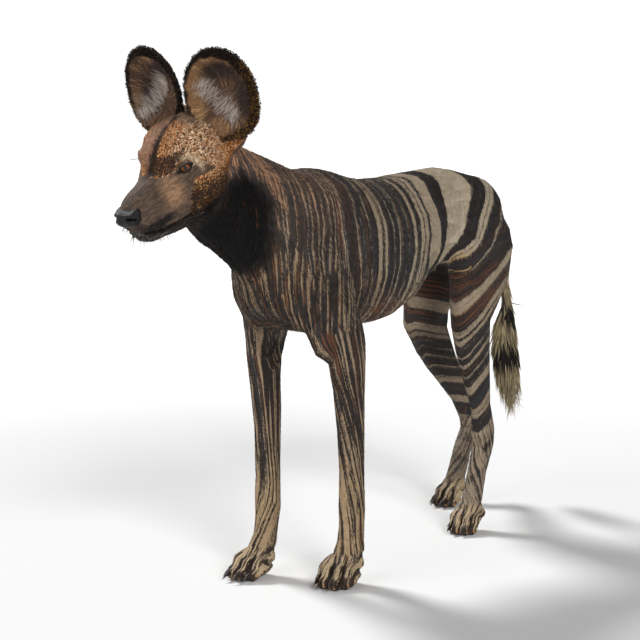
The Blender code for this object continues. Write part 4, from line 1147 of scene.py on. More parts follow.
def mark_ears(fields, at):
    """Dark rims and backs, mottled low outer edges, tan and dark patches inside."""
    at.ears = {}
    for name, sign in SIDES:
        part = at.near["ear_" + name]
        matrix = ear_matrix(name, sign)
        ear = frame_points(at.points, matrix)
        turn = np.arctan2(ear[:, 1] / EAR_HEIGHT, ear[:, 0] / EAR_WIDTH)
        flare = 1.0 + EAR_LOW_FLARE * np.maximum(0.0, -np.sin(turn)) ** 1.5
        s = ear[:, 0] / (0.5 * EAR_WIDTH * flare)
        t = ear[:, 1] / (0.5 * EAR_HEIGHT)
        ahead = frame_points(at.normals + at.points, matrix) - ear
        inside = smooth(0.05, 0.35, ahead[:, 2])
        angles, shares, unevenness = EAR_RIMS[name]
        edge = np.interp(np.degrees(np.arctan2(t, s)), angles, shares)
        edge += unevenness * wobble(at.points, 0.008, 31.0)
        rim = smooth(-0.035, 0.015, np.hypot(s, t) - edge)
        inner = (1.0 - rim) * inside * part
        mottle_top = 0.55 if name == "left" else -0.35
        mottle = smooth(0.25, 0.65, s) * smooth(mottle_top + 0.25, mottle_top, t) + smooth(-0.35, -0.75, t)
        back_low = smooth(0.2, -0.6, t) * (1.0 - inside)
        lay(fields, part, ground="#16110f", pale="#93672f", rust=0.0, grain=0.35, curl=1.0, weight=0.0,
            share=0.04 + 0.42 * np.clip(mottle, 0, 1) * inside + 0.10 * back_low)
        tan_band = np.clip(smooth(-0.45, -0.66, s) + smooth(0.42, 0.60, t) * smooth(0.5, 0.1, s), 0.0, 1.0)
        tan_band = np.maximum(tan_band, smooth(-0.50, -0.72, t) * smooth(0.2, -0.2, s))
        lay(fields, inner, ground="#483427", pale="#725741", share=0.35, grain=0.0, curl=0.0)
        lay(fields, inner * tan_band, ground="#7b5b3e", pale="#a07d58")
        flat = columns(s, t, 0 * s)
        patch = np.maximum(blob(flat, (-0.10, 0.42, 0.0), (0.42, 0.22, 1.0), 0.5),
                           blob(flat, (0.42, -0.15, 0.0), (0.24, 0.50, 1.0), 0.5))
        lay(fields, inner * patch, ground="#2c211c", pale="#3f322a")
        outer_tan = smooth(0.60, 0.72, s) * smooth(0.3, 0.0, np.abs(t + 0.25))
        lay(fields, inner * outer_tan * 0.7, ground="#7d684f")
        at.ears[name] = SimpleNamespace(s=s, t=t, inside=inside, rim=rim, part=part)


def mark_skin(mesh):
    """Stores the fields that colour the skin and lay the coat."""
    at = survey(mesh)
    fields = start_fields(at)
    mark_body(fields, at)
    mark_legs(fields, at)
    mark_tail_and_throat(fields, at)
    mark_muzzle(fields, at, mark_forehead(fields, at))
    mark_ears(fields, at)
    ground = fields["ground"] * (1.0 + 0.10 * wobble(at.points, 0.02, 41.0))[:, None]
    for name, kind, values in (
        ("flow", "FLOAT_VECTOR", fields["flow"]),
        ("ground", "FLOAT_COLOR", ground),
        ("pale", "FLOAT_COLOR", fields["pale"]),
        ("shares", "FLOAT_VECTOR", columns(fields["share"], fields["rust"], fields["grain"])),
        ("bands", "FLOAT_VECTOR", columns(fields["band"], fields["weight"], fields["curl"])),
        ("limb", "FLOAT_VECTOR", fields["limb"]),
        ("limb_share", "FLOAT", fields["limb_share"]),
        ("place", "FLOAT_VECTOR", at.points),
    ):
        store(mesh, name, kind, values)
    lay_coat(mesh, at)


def hair_direction(at):
    """How the hair lies at each point, along the skin."""
    x, up, normals, still = at.x, at.up, at.normals, 0.0 * at.x
    out = np.sign(x) * smooth(0.0, 0.03, np.abs(x))
    lie = columns(0.05 * out, 0.28 + still, -0.95 + still)
    lie = paint(lie, smooth(0.55, 0.85, normals[:, 2]), (0.0, 1.0, 0.0))
    lie = paint(lie, sum(at.soft[name] for name in LEG_AXES), (0.0, 0.12, -1.0))
    lie = paint(lie, at.near["tail"], (0.0, 0.15, -1.0))
    swept = columns(-1.0 + still, 0.55 * np.sign(at.left), 0.35 - 6.0 * np.maximum(0.0, -up - 0.01))
    lie = paint(lie, at.near["head"], swept @ np.array(head_matrix().to_3x3()).T)
    for name, sign in SIDES:
        ear = at.ears[name]
        outward = columns(ear.s, ear.t + 0.4, still + 0.25 * ear.inside)
        lie = paint(lie, ear.part, outward @ np.array(ear_matrix(name, sign).to_3x3()).T)
    swirl = columns(*(wobble(at.points, 0.03, seed) for seed in (51.0, 52.0, 53.0)))
    lie = lie + (0.12 + 0.45 * at.ochre[:, None]) * swirl
    lie = lie - normals * np.sum(lie * normals, axis=1)[:, None]
    return lie / np.maximum(np.linalg.norm(lie, axis=1), 1e-6)[:, None]


def lay_coat(mesh, at):
    """Stores how the hair lies, and its length, width and lift, relative to each coat's own sizes."""
    z, near, forward = at.z, at.near, at.forward
    size = len(at.points)
    hair = {"length": np.ones(size), "width": np.ones(size), "lift": np.ones(size)}
    on_face = near["head"] > 0.5
    muzzle = smooth(-0.005, 0.03, forward) * near["head"]
    lay(hair, muzzle, length=0.55, width=0.7)
    lay(hair, at.ochre, length=0.80, lift=2.2)
    lay(hair, muzzle * (1.0 - at.ochre), lift=0.6)
    fold = np.ones(size)
    for _, sign in SIDES:
        fold = np.minimum(fold, smooth(0.0022, 0.0060, eye_zone(at.points, sign)[1]))
    fold = np.minimum(fold, smooth(0.0022, 0.0048, at.mouth_gap))
    fold = np.where(on_face, fold, 1.0)
    hair["length"] = hair["length"] * (0.35 + 0.65 * fold)
    nose = smooth(0.0900, 0.0925, forward) * smooth(-0.047, -0.044, at.up) * near["head"]
    thick = np.where(on_face, smooth(0.05, 0.4, fold), 1.0) * (1.0 - nose) * smooth(0.004, 0.009, z)
    lay(hair, smooth(0.060, 0.035, z), length=0.45)
    rims = np.zeros(size, dtype=bool)
    for ear in at.ears.values():
        inner = ear.part * ear.inside * (1.0 - ear.rim)
        lay(hair, inner, length=0.9)
        lay(hair, ear.part * ear.rim, lift=3.2, length=0.8)
        lay(hair, inner, lift=0.6)
        rims |= (ear.part > 0.5) & (ear.rim > 0.5)
    wisp = near["tail"] * smooth(0.30, 0.22, z)
    lay(hair, wisp, length=1.35, width=0.75, lift=2.2)
    names = list(PARTS)
    groups = columns(*(near[name] for name in names)).argmax(axis=1)
    region = groups.astype(float)
    long_hair = (at.throat > 0.5) & np.isin(groups, [names.index("neck"), names.index("head")])
    region[long_hair] = len(names)
    region[rims] = len(names) + 1
    store(mesh, "lie", "FLOAT_VECTOR", hair_direction(at))
    store(mesh, "hair", "FLOAT_VECTOR", columns(*hair.values()))
    store(mesh, "thick", "FLOAT", thick)
    store(mesh, "region", "FLOAT", region)


# Finishes

def new_material(name, look, *settings):
    """A material of one Principled surface; look gives its tone and other inputs from the node tree."""
    material = bpy.data.materials.new(name)
    material.use_nodes = True
    tree = material.node_tree
    tree.nodes.clear()
    tone, inputs = look(tree, *settings)
    shader = wire(tree, "ShaderNodeBsdfPrincipled", {"Base Color": tone, **inputs})
    plug(tree, shader, tree.nodes.new("ShaderNodeOutputMaterial").inputs[0])
    return material


def plug(tree, value, socket):
    """Links an input to a wire, or sets it to a value."""
    if isinstance(value, Wire):
        tree.links.new(value.socket, socket)
    else:
        socket.default_value = value


def wire(tree, kind, inputs=(), output=0, **settings):
    """Adds a node with its settings and inputs, and gives one of its outputs."""
    node = tree.nodes.new(kind)
    for key, value in settings.items():
        setattr(node, key, value)
    for key, value in dict(inputs).items():
        plug(tree, value, node.inputs[key])
    return Wire(node.outputs[output])


def calc(operation, *values):
    """One Math node over wires and numbers."""
    tree = next(value.tree for value in values if isinstance(value, Wire))
    return wire(tree, "ShaderNodeMath", enumerate(values), operation=operation)


class Wire:
    """A node's output that adds, subtracts and multiplies through Math nodes."""

    def __init__(self, socket):
        self.socket = socket
        self.tree = socket.id_data

    def __add__(self, other):
        return calc("ADD", self, other)

    def __sub__(self, other):
        return calc("SUBTRACT", self, other)

    def __rsub__(self, other):
        return calc("SUBTRACT", other, self)

    def __mul__(self, other):
        return calc("MULTIPLY", self, other)


def mix_colour(share, a, b):
    """A blend from one colour to another."""
    return wire(share.tree, "ShaderNodeMix", {0: share, 6: a, 7: b}, 2, data_type="RGBA")


def ramp(value, low, high):
    """A smooth step of a value from 0 at low to 1 at high."""
    inputs = {"Value": value, "From Min": low, "From Max": high}
    return wire(value.tree, "ShaderNodeMapRange", inputs, "Result", interpolation_type="SMOOTHSTEP")


def attribute(tree, name, output="Vector"):
    """A field stored on the mesh."""
    return wire(tree, "ShaderNodeAttribute", output=output, attribute_name=name)


def noise(vector, scale, detail=2.0, rough=0.55, offset=0.0):
    """Noise from 0 to 1 over a vector, which an offset shifts."""
    if offset:
        shift = (offset, 2.0 * offset, 3.0 * offset)
        vector = wire(vector.tree, "ShaderNodeVectorMath", {0: vector, 1: shift}, operation="ADD")
    inputs = {"Vector": vector, "Scale": scale, "Detail": detail, "Roughness": rough}
    return wire(vector.tree, "ShaderNodeTexNoise", inputs, "Fac")


def split(vector):
    """A vector's three numbers."""
    node = wire(vector.tree, "ShaderNodeSeparateXYZ", {0: vector}).socket.node
    return [Wire(output) for output in node.outputs]


def bump(height, strength, distance):
    """Normals that follow a height."""
    inputs = {"Height": height, "Strength": strength, "Distance": distance}
    return wire(height.tree, "ShaderNodeBump", inputs)


def marking_colour(tree, tufted):
    """The colour of hair at a place, from the fields stored on the skin, with painted shade at the tufts'
    roots.
    """
    flow, place, limb = (attribute(tree, name) for name in ("flow", "place", "limb"))
    ground, pale = (attribute(tree, name, "Color") for name in ("ground", "pale"))
    pale_share, rust_share, grain_share = split(attribute(tree, "shares"))
    band_place, weight, curl = split(attribute(tree, "bands"))
    fine = noise(place, 420.0, 2.0, 0.6)
    ragged = fine - 0.5
    limb_share = ramp(attribute(tree, "limb_share", "Fac") + ragged, 0.25, 0.75)

    def drawn(*settings):
        """Noise drawn out along the body's flow, or along the limb's where that takes over."""
        trunk_noise = noise(flow, *settings)
        return trunk_noise + limb_share * (noise(limb, *settings) - trunk_noise)

    streaks = drawn(1.0, 3.0, 0.72)
    streak = (streaks - 0.5 + (pale_share - 0.5) * 0.46) * 10.0
    edge_place = band_place + (ragged * 0.006 + (streaks - 0.5) * 0.014)
    inside = [calc("COMPARE", edge_place, 0.5 * (low + high), 0.5 * (high - low)) for low, high in BAND_EDGES]
    field = sum(inside[1:], inside[0]) * 2.0 - 1.0
    blend = streak * (1.0 - weight) + field * (weight * 1.8) + ragged * 2.2
    squiggle = (pale_share * 0.10 - calc("ABSOLUTE", noise(place, 340.0, 1.0, 0.5, 3.7) - 0.5)) * 30.0
    pale_mask = ramp(blend * (1.0 - curl) + squiggle * curl, -0.22, 0.22)
    rust_mask = ramp(drawn(1.6, 3.0, 0.65, 11.3) + rust_share * 0.30, 0.66, 0.74) * 0.75
    # Painted sheen: grey patches in the hair's colour stand for highlights on the coarse coat.
    grey_sheen_mask = ramp(noise(flow, 0.8, 2.0, 0.5, 23.1), 0.50, 0.62) * 0.35
    grey_sheen_mask = grey_sheen_mask * (1.0 - curl) * ramp(rust_share, 0.02, 0.15)
    grain_mask = ramp(noise(place, 380.0, 1.0, 0.5, 7.9) + grain_share * 0.34, 0.60, 0.66)
    grain_mask = grain_mask * ramp(grain_share, 0.0, 0.08)
    tone = mix_colour(grey_sheen_mask, ground, linear("#3f4145"))
    tone = mix_colour(rust_mask, tone, linear("#70452c"))
    tone = mix_colour(pale_mask, tone, pale)
    tone = mix_colour(grain_mask * 0.92, tone, linear("#1c130d"))
    hair = drawn(8.0, 2.0, 0.6, 5.1)
    shade = hair * 0.70 + 0.65
    if tufted:
        # Painted shade: each tuft is darker towards its root, as shade among the hair, and lighter at its
        # tip; it also gets its own random tone.
        shade = attribute(tree, "tip", "Fac") * 0.36 + 0.80
        shade = shade * (attribute(tree, "shade", "Fac") * 0.60 + 0.72)
    return wire(tree, "ShaderNodeVectorMath", {0: tone, "Scale": shade}, operation="SCALE"), hair, fine


def coat_look(tree, tufted):
    """Short coarse hair: matt, with a faint sheen; on the skin its strands are bump."""
    tone, hair, fine = marking_colour(tree, tufted)
    inputs = {"Roughness": 0.60 if tufted else 0.70, "Specular IOR Level": 0.18,
              "Sheen Weight": 0.015, "Sheen Roughness": 0.5}
    if not tufted:
        inputs["Normal"] = bump(hair + fine * 0.5, 0.55, 0.0008)
    return tone, inputs


# Coat

def tuft(name, rings, width, bend, curl):
    """A closed tapering lock of unit length along X, bent down to lie and curled sideways."""
    bm = bmesh.new()
    root = bm.verts.new((0.0, 0.0, -0.02))

    def spine(t):
        return Vector((t * (1.0 - 0.25 * abs(curl) * t), curl * 0.35 * math.sin(math.pi * t * 0.9),
                       bend * math.sin(math.pi * min(1.0, t * 1.05)) * 0.5))

    loops = []
    for t in [(i + 1) / (rings + 1) for i in range(rings)]:
        thick = width * (math.sin(math.pi * min(t + 0.16, 1.0)) ** 0.6) * (1.0 - 0.35 * t)
        angles = [turn + math.pi / 2.0 for turn in turns(TUFT_SIDES)]
        loops.append([bm.verts.new(spine(t) + Vector((0.0, math.cos(angle), 0.62 * math.sin(angle))) * thick)
                      for angle in angles])
    end = bm.verts.new(spine(1.0))
    for k in range(TUFT_SIDES):
        j = (k + 1) % TUFT_SIDES
        bm.faces.new((root, loops[0][j], loops[0][k]))
        bm.faces.new((end, loops[-1][k], loops[-1][j]))
    join_rings(bm, loops)
    bmesh.ops.recalc_face_normals(bm, faces=bm.faces)
    bmesh.ops.triangulate(bm, faces=bm.faces[:])
    obj = object_from(name, bm)
    mesh = obj.data
    co = rows_of(mesh.vertices, "co")
    share = np.clip(co[:, 0], 0.0, 1.0)
    store(mesh, "tip", "FLOAT", share)
    patch = mesh.attributes.new("patch", "FLOAT2", "POINT")
    across = np.clip(0.5 + (co[:, 1] + co[:, 2]) / (4.8 * width), 0.0, 1.0)
    patch.data.foreach_set("vector", columns(share, across).astype(np.float32).ravel())
    return obj


def coat_tree():
    """Geometry nodes that stand tufts on a skin, laid along its lie, as real mesh."""
    tree = bpy.data.node_groups.new("laid_coat", "GeometryNodeTree")
    for names, kind in ((("Skin",), "Geometry"), (COAT_SIZES, "Float"), (("Seed",), "Int"),
                        (TUFT_INPUTS, "Object"), (("Finish",), "Material")):
        for name in names:
            tree.interface.new_socket(name=name, in_out="INPUT", socket_type="NodeSocket" + kind)
    tree.interface.new_socket(name="Coat", in_out="OUTPUT", socket_type="NodeSocketGeometry")
    start = {socket.name: Wire(socket) for socket in tree.nodes.new("NodeGroupInput").outputs}
    end = tree.nodes.new("NodeGroupOutput")

    def named(name, kind="FLOAT_VECTOR"):
        return wire(tree, "GeometryNodeInputNamedAttribute", {"Name": name}, "Attribute", data_type=kind)

    def chance(kind, low, high, seed):
        first, output = {"FLOAT": (2, 1), "INT": (4, 2)}[kind]
        inputs = {first: low, first + 1: high, "Seed": start["Seed"] + seed}
        return wire(tree, "FunctionNodeRandomValue", inputs, output, data_type=kind)

    spacing = start["Spacing"]
    points = wire(tree, "GeometryNodeDistributePointsOnFaces", {
        "Mesh": start["Skin"], "Distance Min": spacing, "Density Max": calc("DIVIDE", 1.6, spacing * spacing),
        "Density Factor": named("thick", "FLOAT"), "Seed": start["Seed"]}, distribute_method="POISSON")
    outward = Wire(points.socket.node.outputs["Normal"])
    upright = wire(tree, "FunctionNodeAlignRotationToVector", {"Vector": outward}, axis="Z")
    laid = wire(tree, "FunctionNodeAlignRotationToVector", {"Rotation": upright, "Vector": named("lie")},
                axis="X", pivot_axis="Z")
    long, broad, lift = split(named("hair"))
    roll = start["Swing"] * chance("FLOAT", -2.0, 2.0, 3)
    lift = start["Lift"] * lift * chance("FLOAT", -1.5, -0.5, 1)
    swing = start["Swing"] * chance("FLOAT", -1.0, 1.0, 2)
    angles = wire(tree, "ShaderNodeCombineXYZ", {0: roll, 1: lift, 2: swing})
    euler = wire(tree, "FunctionNodeEulerToRotation", {0: angles})
    turned = wire(tree, "FunctionNodeRotateRotation", {0: laid, 1: euler}, rotation_space="LOCAL")
    long = start["Length"] * long * chance("FLOAT", 0.7, 1.25, 4)
    broad = start["Width"] * broad * chance("FLOAT", 0.7, 1.3, 5)
    size = wire(tree, "ShaderNodeCombineXYZ", {0: long, 1: broad, 2: broad})
    inputs = {"Name": "shade", "Geometry": points, "Value": chance("FLOAT", 0.0, 1.0, 6)}
    shaded = wire(tree, "GeometryNodeStoreNamedAttribute", inputs, data_type="FLOAT", domain="POINT")
    kinds = wire(tree, "GeometryNodeJoinGeometry")
    for name in TUFT_INPUTS:
        inputs = {"As Instance": True, "Object": start[name]}
        plug(tree, wire(tree, "GeometryNodeObjectInfo", inputs, "Geometry"), kinds.socket.node.inputs[0])
    stand = wire(tree, "GeometryNodeInstanceOnPoints", {
        "Pick Instance": True, "Points": shaded, "Instance": kinds, "Instance Index": chance("INT", 0, 2, 7),
        "Rotation": turned, "Scale": size})
    real = wire(tree, "GeometryNodeRealizeInstances", {0: stand})
    inputs = {0: named("patch"), 1: (BAKE_PATCH, BAKE_PATCH, 0.0), 2: named("coat_map")}
    patch = wire(tree, "ShaderNodeVectorMath", inputs, operation="MULTIPLY_ADD")
    inputs = {"Name": "OFBake", "Geometry": real, "Value": patch}
    baked = wire(tree, "GeometryNodeStoreNamedAttribute", inputs, data_type="FLOAT2", domain="CORNER")
    inputs = {"Geometry": baked, "Material": start["Finish"]}
    plug(tree, wire(tree, "GeometryNodeSetMaterial", inputs), end.inputs[0])
    return tree


def coat_base(skin, name, chosen):
    """A copy of the skin's chosen faces with its own unwrap, for the tufts' roots."""
    bm = bmesh.new()
    bm.from_mesh(skin.data)
    bm.verts.ensure_lookup_table()
    bm.faces.ensure_lookup_table()
    outside = [face for face, wanted in zip(bm.faces, chosen) if not wanted]
    bmesh.ops.delete(bm, geom=outside, context="FACES")
    obj = object_from(name, bm)
    obj.data.uv_layers.new(name="coat_map")
    bpy.context.view_layer.objects.active = obj
    for other in bpy.context.selected_objects:
        other.select_set(False)
    obj.select_set(True)
    bpy.ops.object.mode_set(mode="EDIT")
    bpy.ops.mesh.select_all(action="SELECT")
    bpy.ops.uv.smart_project(angle_limit=math.radians(60.0), island_margin=0.004, scale_to_bounds=True)
    bpy.ops.object.mode_set(mode="OBJECT")
    return obj


def grow_coat(base, tree, sizes, tufts, material, seed):
    """Runs the coat's nodes on a base, which becomes the plain mesh of its tufts."""
    grow = base.modifiers.new("coat", "NODES")
    grow.node_group = tree
    ids = {item.name: item.identifier for item in tree.interface.items_tree if item.in_out == "INPUT"}
    for name, value in zip(COAT_SIZES, sizes):
        grow[ids[name]] = value
    grow[ids["Seed"]] = seed
    for name, obj in zip(TUFT_INPUTS, tufts):
        grow[ids[name]] = obj
    grow[ids["Finish"]] = material
    mesh = evaluated_mesh(base)
    for name in ("patch", "coat_map", "lie", "hair", "thick", "region"):
        extra = mesh.attributes.get(name)
        if extra is not None:
            mesh.attributes.remove(extra)
    mesh.shade_smooth()
    return base


# Tufts: rings, then width, bend and curl of each of three
TUFTS = {
    "short": (1, (1.0, 0.14, 0.1), (1.1, 0.10, -0.15), (0.8, 0.16, 0.0)),
    "curly": (2, (1.0, 0.35, 1.1), (1.1, 0.30, -1.1), (0.9, 0.40, 0.6)),
    "long": (2, (1.0, 0.16, 0.25), (1.1, 0.14, -0.25), (0.8, 0.18, 0.0)),
    "lock": (4, (1.0, 0.10, 0.18), (1.1, 0.08, -0.18), (0.8, 0.12, 0.06)),
}

# Coats: parts they grow on, side, sizes in the order of COAT_SIZES, kind of tuft, and the material slot
COATS = {
    "coat_trunk_left": (("trunk",), 1, (0.0026, 0.0085, 0.0008, 0.08, 0.12), "short", "coat_grey"),
    "coat_trunk_right": (("trunk",), -1, (0.0026, 0.0085, 0.0008, 0.08, 0.12), "short", "coat_grey"),
    "coat_neck": (("neck",), 0, (0.0025, 0.0095, 0.0008, 0.10, 0.14), "short", "coat_grey"),
    "coat_throat": (("throat",), 0, (0.0021, 0.0130, 0.0008, 0.16, 0.26), "long", "coat_dark"),
    "coat_head": (("head",), 0, (0.0017, 0.0052, 0.0006, 0.20, 0.35), "curly", "coat_ochre"),
    "coat_ears": (("ear_left", "ear_right"), 0, (0.0022, 0.0070, 0.0007, 0.15, 0.30), "short", "coat_dark"),
    "coat_ear_rims": (("rim",), 0, (0.0015, 0.0064, 0.0010, 0.28, 0.80), "curly", "coat_dark"),
    "coat_forelegs": (("fore_left", "fore_right"), 0,
                      (0.0021, 0.0062, 0.0006, 0.09, 0.12), "short", "coat_tan"),
    "coat_hindlegs": (("hind_left", "hind_right"), 0,
                      (0.0023, 0.0062, 0.0006, 0.08, 0.12), "short", "coat_tan"),
    "coat_tail": (("tail",), 0, (0.0034, 0.0420, 0.0016, 0.12, 0.14), "lock", "coat_tan"),
}


def build_coats(skin, length_share=1.0, first_seed=3):
    """Grows each coat over its own part of the skin."""
    names = list(PARTS) + ["throat", "rim"]
    mesh = skin.data
    region = rows_of(mesh.attributes["region"].data, "value", 1, np.float32)[:, 0]
    corners = rows_of(mesh.polygons, "vertices", 3, np.int64)
    of_face = np.round(region[corners[:, 0]]).astype(int)
    middle = points_of(mesh)[corners].mean(axis=1)
    kinds = {kind: [tuft(kind + "_" + letter, rings, *shape) for letter, shape in zip("abc", shapes)]
             for kind, (rings, *shapes) in TUFTS.items()}
    tree = coat_tree()
    material = new_material("laid_hair_in_tufts", coat_look, True)
    made = []
    for seed, (name, (parts, side, sizes, kind, slot)) in enumerate(COATS.items()):
        chosen = np.isin(of_face, [names.index(part) for part in parts])
        if side:
            chosen &= side * middle[:, 0] >= 0.0
        base = coat_base(skin, name, chosen)
        scaled = (sizes[0], sizes[1] * length_share) + sizes[2:]
        grow_coat(base, tree, scaled, kinds[kind], material, seed + first_seed)
        print(name, len(base.data.polygons), "triangles")
        made.append(finished(base, None))
    for group in kinds.values():
        for obj in group:
            bpy.data.objects.remove(obj)
    return made


# Eyes, nose, claws, whiskers and ear hair

def eye_look(tree):
    """A wet eyeball: amber iris with fine spokes, dark limbus and brown white."""
    angle = attribute(tree, "from_gaze", "Fac")
    spokes = ramp(noise(attribute(tree, "spokes"), 9.0, 3.0, 0.6), 0.35, 0.7)
    inner = mix_colour(spokes, linear("#6b3513"), linear("#a8642a"))
    outer = mix_colour(spokes, linear("#431d0c"), linear("#8a4415"))
    iris = mix_colour(ramp(angle, 0.25, 0.55), inner, outer)
    white = mix_colour(ramp(angle, IRIS_ANGLE + 0.1, IRIS_ANGLE + 0.5), linear("#3a241a"), linear("#8a6a58"))
    tone = mix_colour(ramp(angle, IRIS_ANGLE - 0.03, IRIS_ANGLE + 0.03), iris, white)
    limbus = calc("ABSOLUTE", angle - IRIS_ANGLE)
    tone = mix_colour(ramp(limbus, 0.09, 0.02), tone, linear("#160c08"))
    tone = mix_colour(ramp(angle, PUPIL_ANGLE + 0.03, PUPIL_ANGLE - 0.02), tone, linear("#050303"))
    return tone, {"Roughness": 0.25, "Specular IOR Level": 0.25, "Coat Weight": 0.35, "Coat Roughness": 0.04}


def build_eyes():
    """Eyeballs with a bulged cornea, a hair's breadth inside the CAD's."""
    material = new_material("wet_amber_eye", eye_look)
    for side, sign in SIDES:
        matrix = eye_matrix(sign) @ Matrix.Translation((0.0, 0.0, -EYE_RADIUS))
        bm = bmesh.new()
        bmesh.ops.create_uvsphere(bm, u_segments=64, v_segments=48, radius=1.0)
        angles, spokes = [], []
        for vert in bm.verts:
            direction = vert.co.normalized()
            angle = math.acos(max(-1.0, min(1.0, direction.z)))
            bulge = 0.0008 * math.exp(-(angle / 0.45) ** 4)
            angles.append(angle)
            reach = max(math.sin(angle), 0.05)
            spokes.append((direction.x / reach, direction.y / reach, 0.25 * angle))
            vert.co = direction * (EYE_RADIUS - 0.0002 + bulge)
        bm.transform(Matrix.Translation(ORIGIN) @ matrix)
        eye = object_from("eyeball_" + side, bm)
        store(eye.data, "from_gaze", "FLOAT", angles)
        store(eye.data, "spokes", "FLOAT_VECTOR", spokes)
        eye.data.shade_smooth()
        finished(eye, material, ("eye_" + side,))


def nose_look(tree):
    """Moist nose leather: blackish brown, cobbled, half gloss, with painted shade in the nostrils and the
    groove between them.
    """
    place = attribute(tree, "place")
    cobble = wire(tree, "ShaderNodeTexVoronoi", {"Vector": place, "Scale": 750.0}, feature="DISTANCE_TO_EDGE")
    # Painted shade: the nostrils and the middle groove turn near black and lose their gloss.
    hollow = ramp(attribute(tree, "hollow", "Fac"), 0.1, 0.6)
    tone = mix_colour(ramp(noise(place, 160.0, 3.0), 0.35, 0.7), linear("#0a0808"), linear("#151110"))
    tone = mix_colour(hollow, tone, linear("#030202"))
    edges = ramp(Wire(cobble.socket.node.outputs["Distance"]), 0.0, 0.25)
    return tone, {"Roughness": 0.46, "Specular IOR Level": 0.26 - hollow * 0.26,
                  "Normal": bump(edges, 0.5, 0.0003)}


def build_nose():
    """The nose pad, lofted squarish, with comma nostrils and a groove between them."""
    rows, sides, power = 44, 96, 0.58
    sections = along([(f, m, w) for f, m, w, _, _ in NOSE_SECTIONS], rows)
    heights = along([(u, d, 0.0) for _, _, _, u, d in NOSE_SECTIONS], rows)
    bm = bmesh.new()
    loops = []
    for (forward, middle, half), (rise, drop, _) in zip(sections, heights):
        loop = []
        for angle in turns(sides):
            c, s = math.cos(angle), math.sin(angle)
            across = math.copysign(abs(c) ** power, c) * half
            up = math.copysign(abs(s) ** power, s) * (rise if s > 0.0 else drop)
            loop.append(bm.verts.new((forward, across, middle + up)))
        loops.append(loop)
    join_rings(bm, loops)
    bm.faces.new(reversed(loops[0]))
    tip = bm.verts.new((NOSE_SECTIONS[-1][0] + 0.0004, 0.0, NOSE_SECTIONS[-1][1]))
    for k in range(sides):
        bm.faces.new((loops[-1][k], loops[-1][(k + 1) % sides], tip))
    bmesh.ops.recalc_face_normals(bm, faces=bm.faces)
    nose = object_from("nose_leather", bm)
    mesh = nose.data
    head = rows_of(mesh.vertices, "co")
    normals = normals_of(mesh)
    mirrored = columns(head[:, 0], np.abs(head[:, 1]), head[:, 2])
    gap, place = line_distance(mirrored, NOSTRIL)
    hole = bell(gap, 0.0050 - 0.0020 * place)
    groove = bell(head[:, 1], 0.0018) * smooth(-0.030, -0.036, head[:, 2]) * smooth(0.100, 0.106, head[:, 0])
    wing = bell(gap - 0.0058, 0.004) * smooth(0.095, 0.105, head[:, 0])
    push = -0.0050 * hole - 0.0012 * groove + 0.0008 * wing
    turn = np.array(head_matrix().to_3x3())
    moved = head + normals * (push * (head[:, 0] > 0.09))[:, None]
    world = moved @ turn.T + np.array(HEAD_ORIGIN)
    move_points(mesh, world)
    # The nostrils and the groove are stored as the places where shade is painted into the leather.
    store(mesh, "hollow", "FLOAT", np.clip(hole + 0.4 * groove, 0.0, 1.0))
    store(mesh, "place", "FLOAT_VECTOR", world)
    mesh.shade_smooth()
    finished(nose, new_material("moist_nose_leather", nose_look), ("nose",))


def horn_look(tree):
    """Worn claw horn: dark brown, streaked lengthwise, paler at the tip."""
    streak = noise(attribute(tree, "grain"), 1.0, 3.0, 0.6)
    tone = mix_colour(ramp(streak, 0.35, 0.7), linear("#15100e"), linear("#3a2e27"))
    tone = mix_colour(ramp(attribute(tree, "tip", "Fac"), 0.6, 1.0) * 0.5, tone, linear("#6a5848"))
    return tone, {"Roughness": 0.34}


def paw_frame(name):
    """A paw's frame on the floor and its size."""
    x, y, outward, size = PAWS[name]
    sign = 1.0 if x > 0.0 else -1.0
    return Matrix.Translation((x, y, 0.0)) @ Matrix.Rotation(sign * outward, 4, "Z"), size


def toes(size):
    """Each toe of a paw: across, tip forward and radius, in the order of the CAD's claws."""
    inner = (0.0105 * size, 0.0335 * size, TOE_RADIUS * size)
    outer = (0.0235 * size, 0.0190 * size, 0.96 * TOE_RADIUS * size)
    return sorted((sign * across, tip, radius) for across, tip, radius in (inner, outer) for _, sign in SIDES)


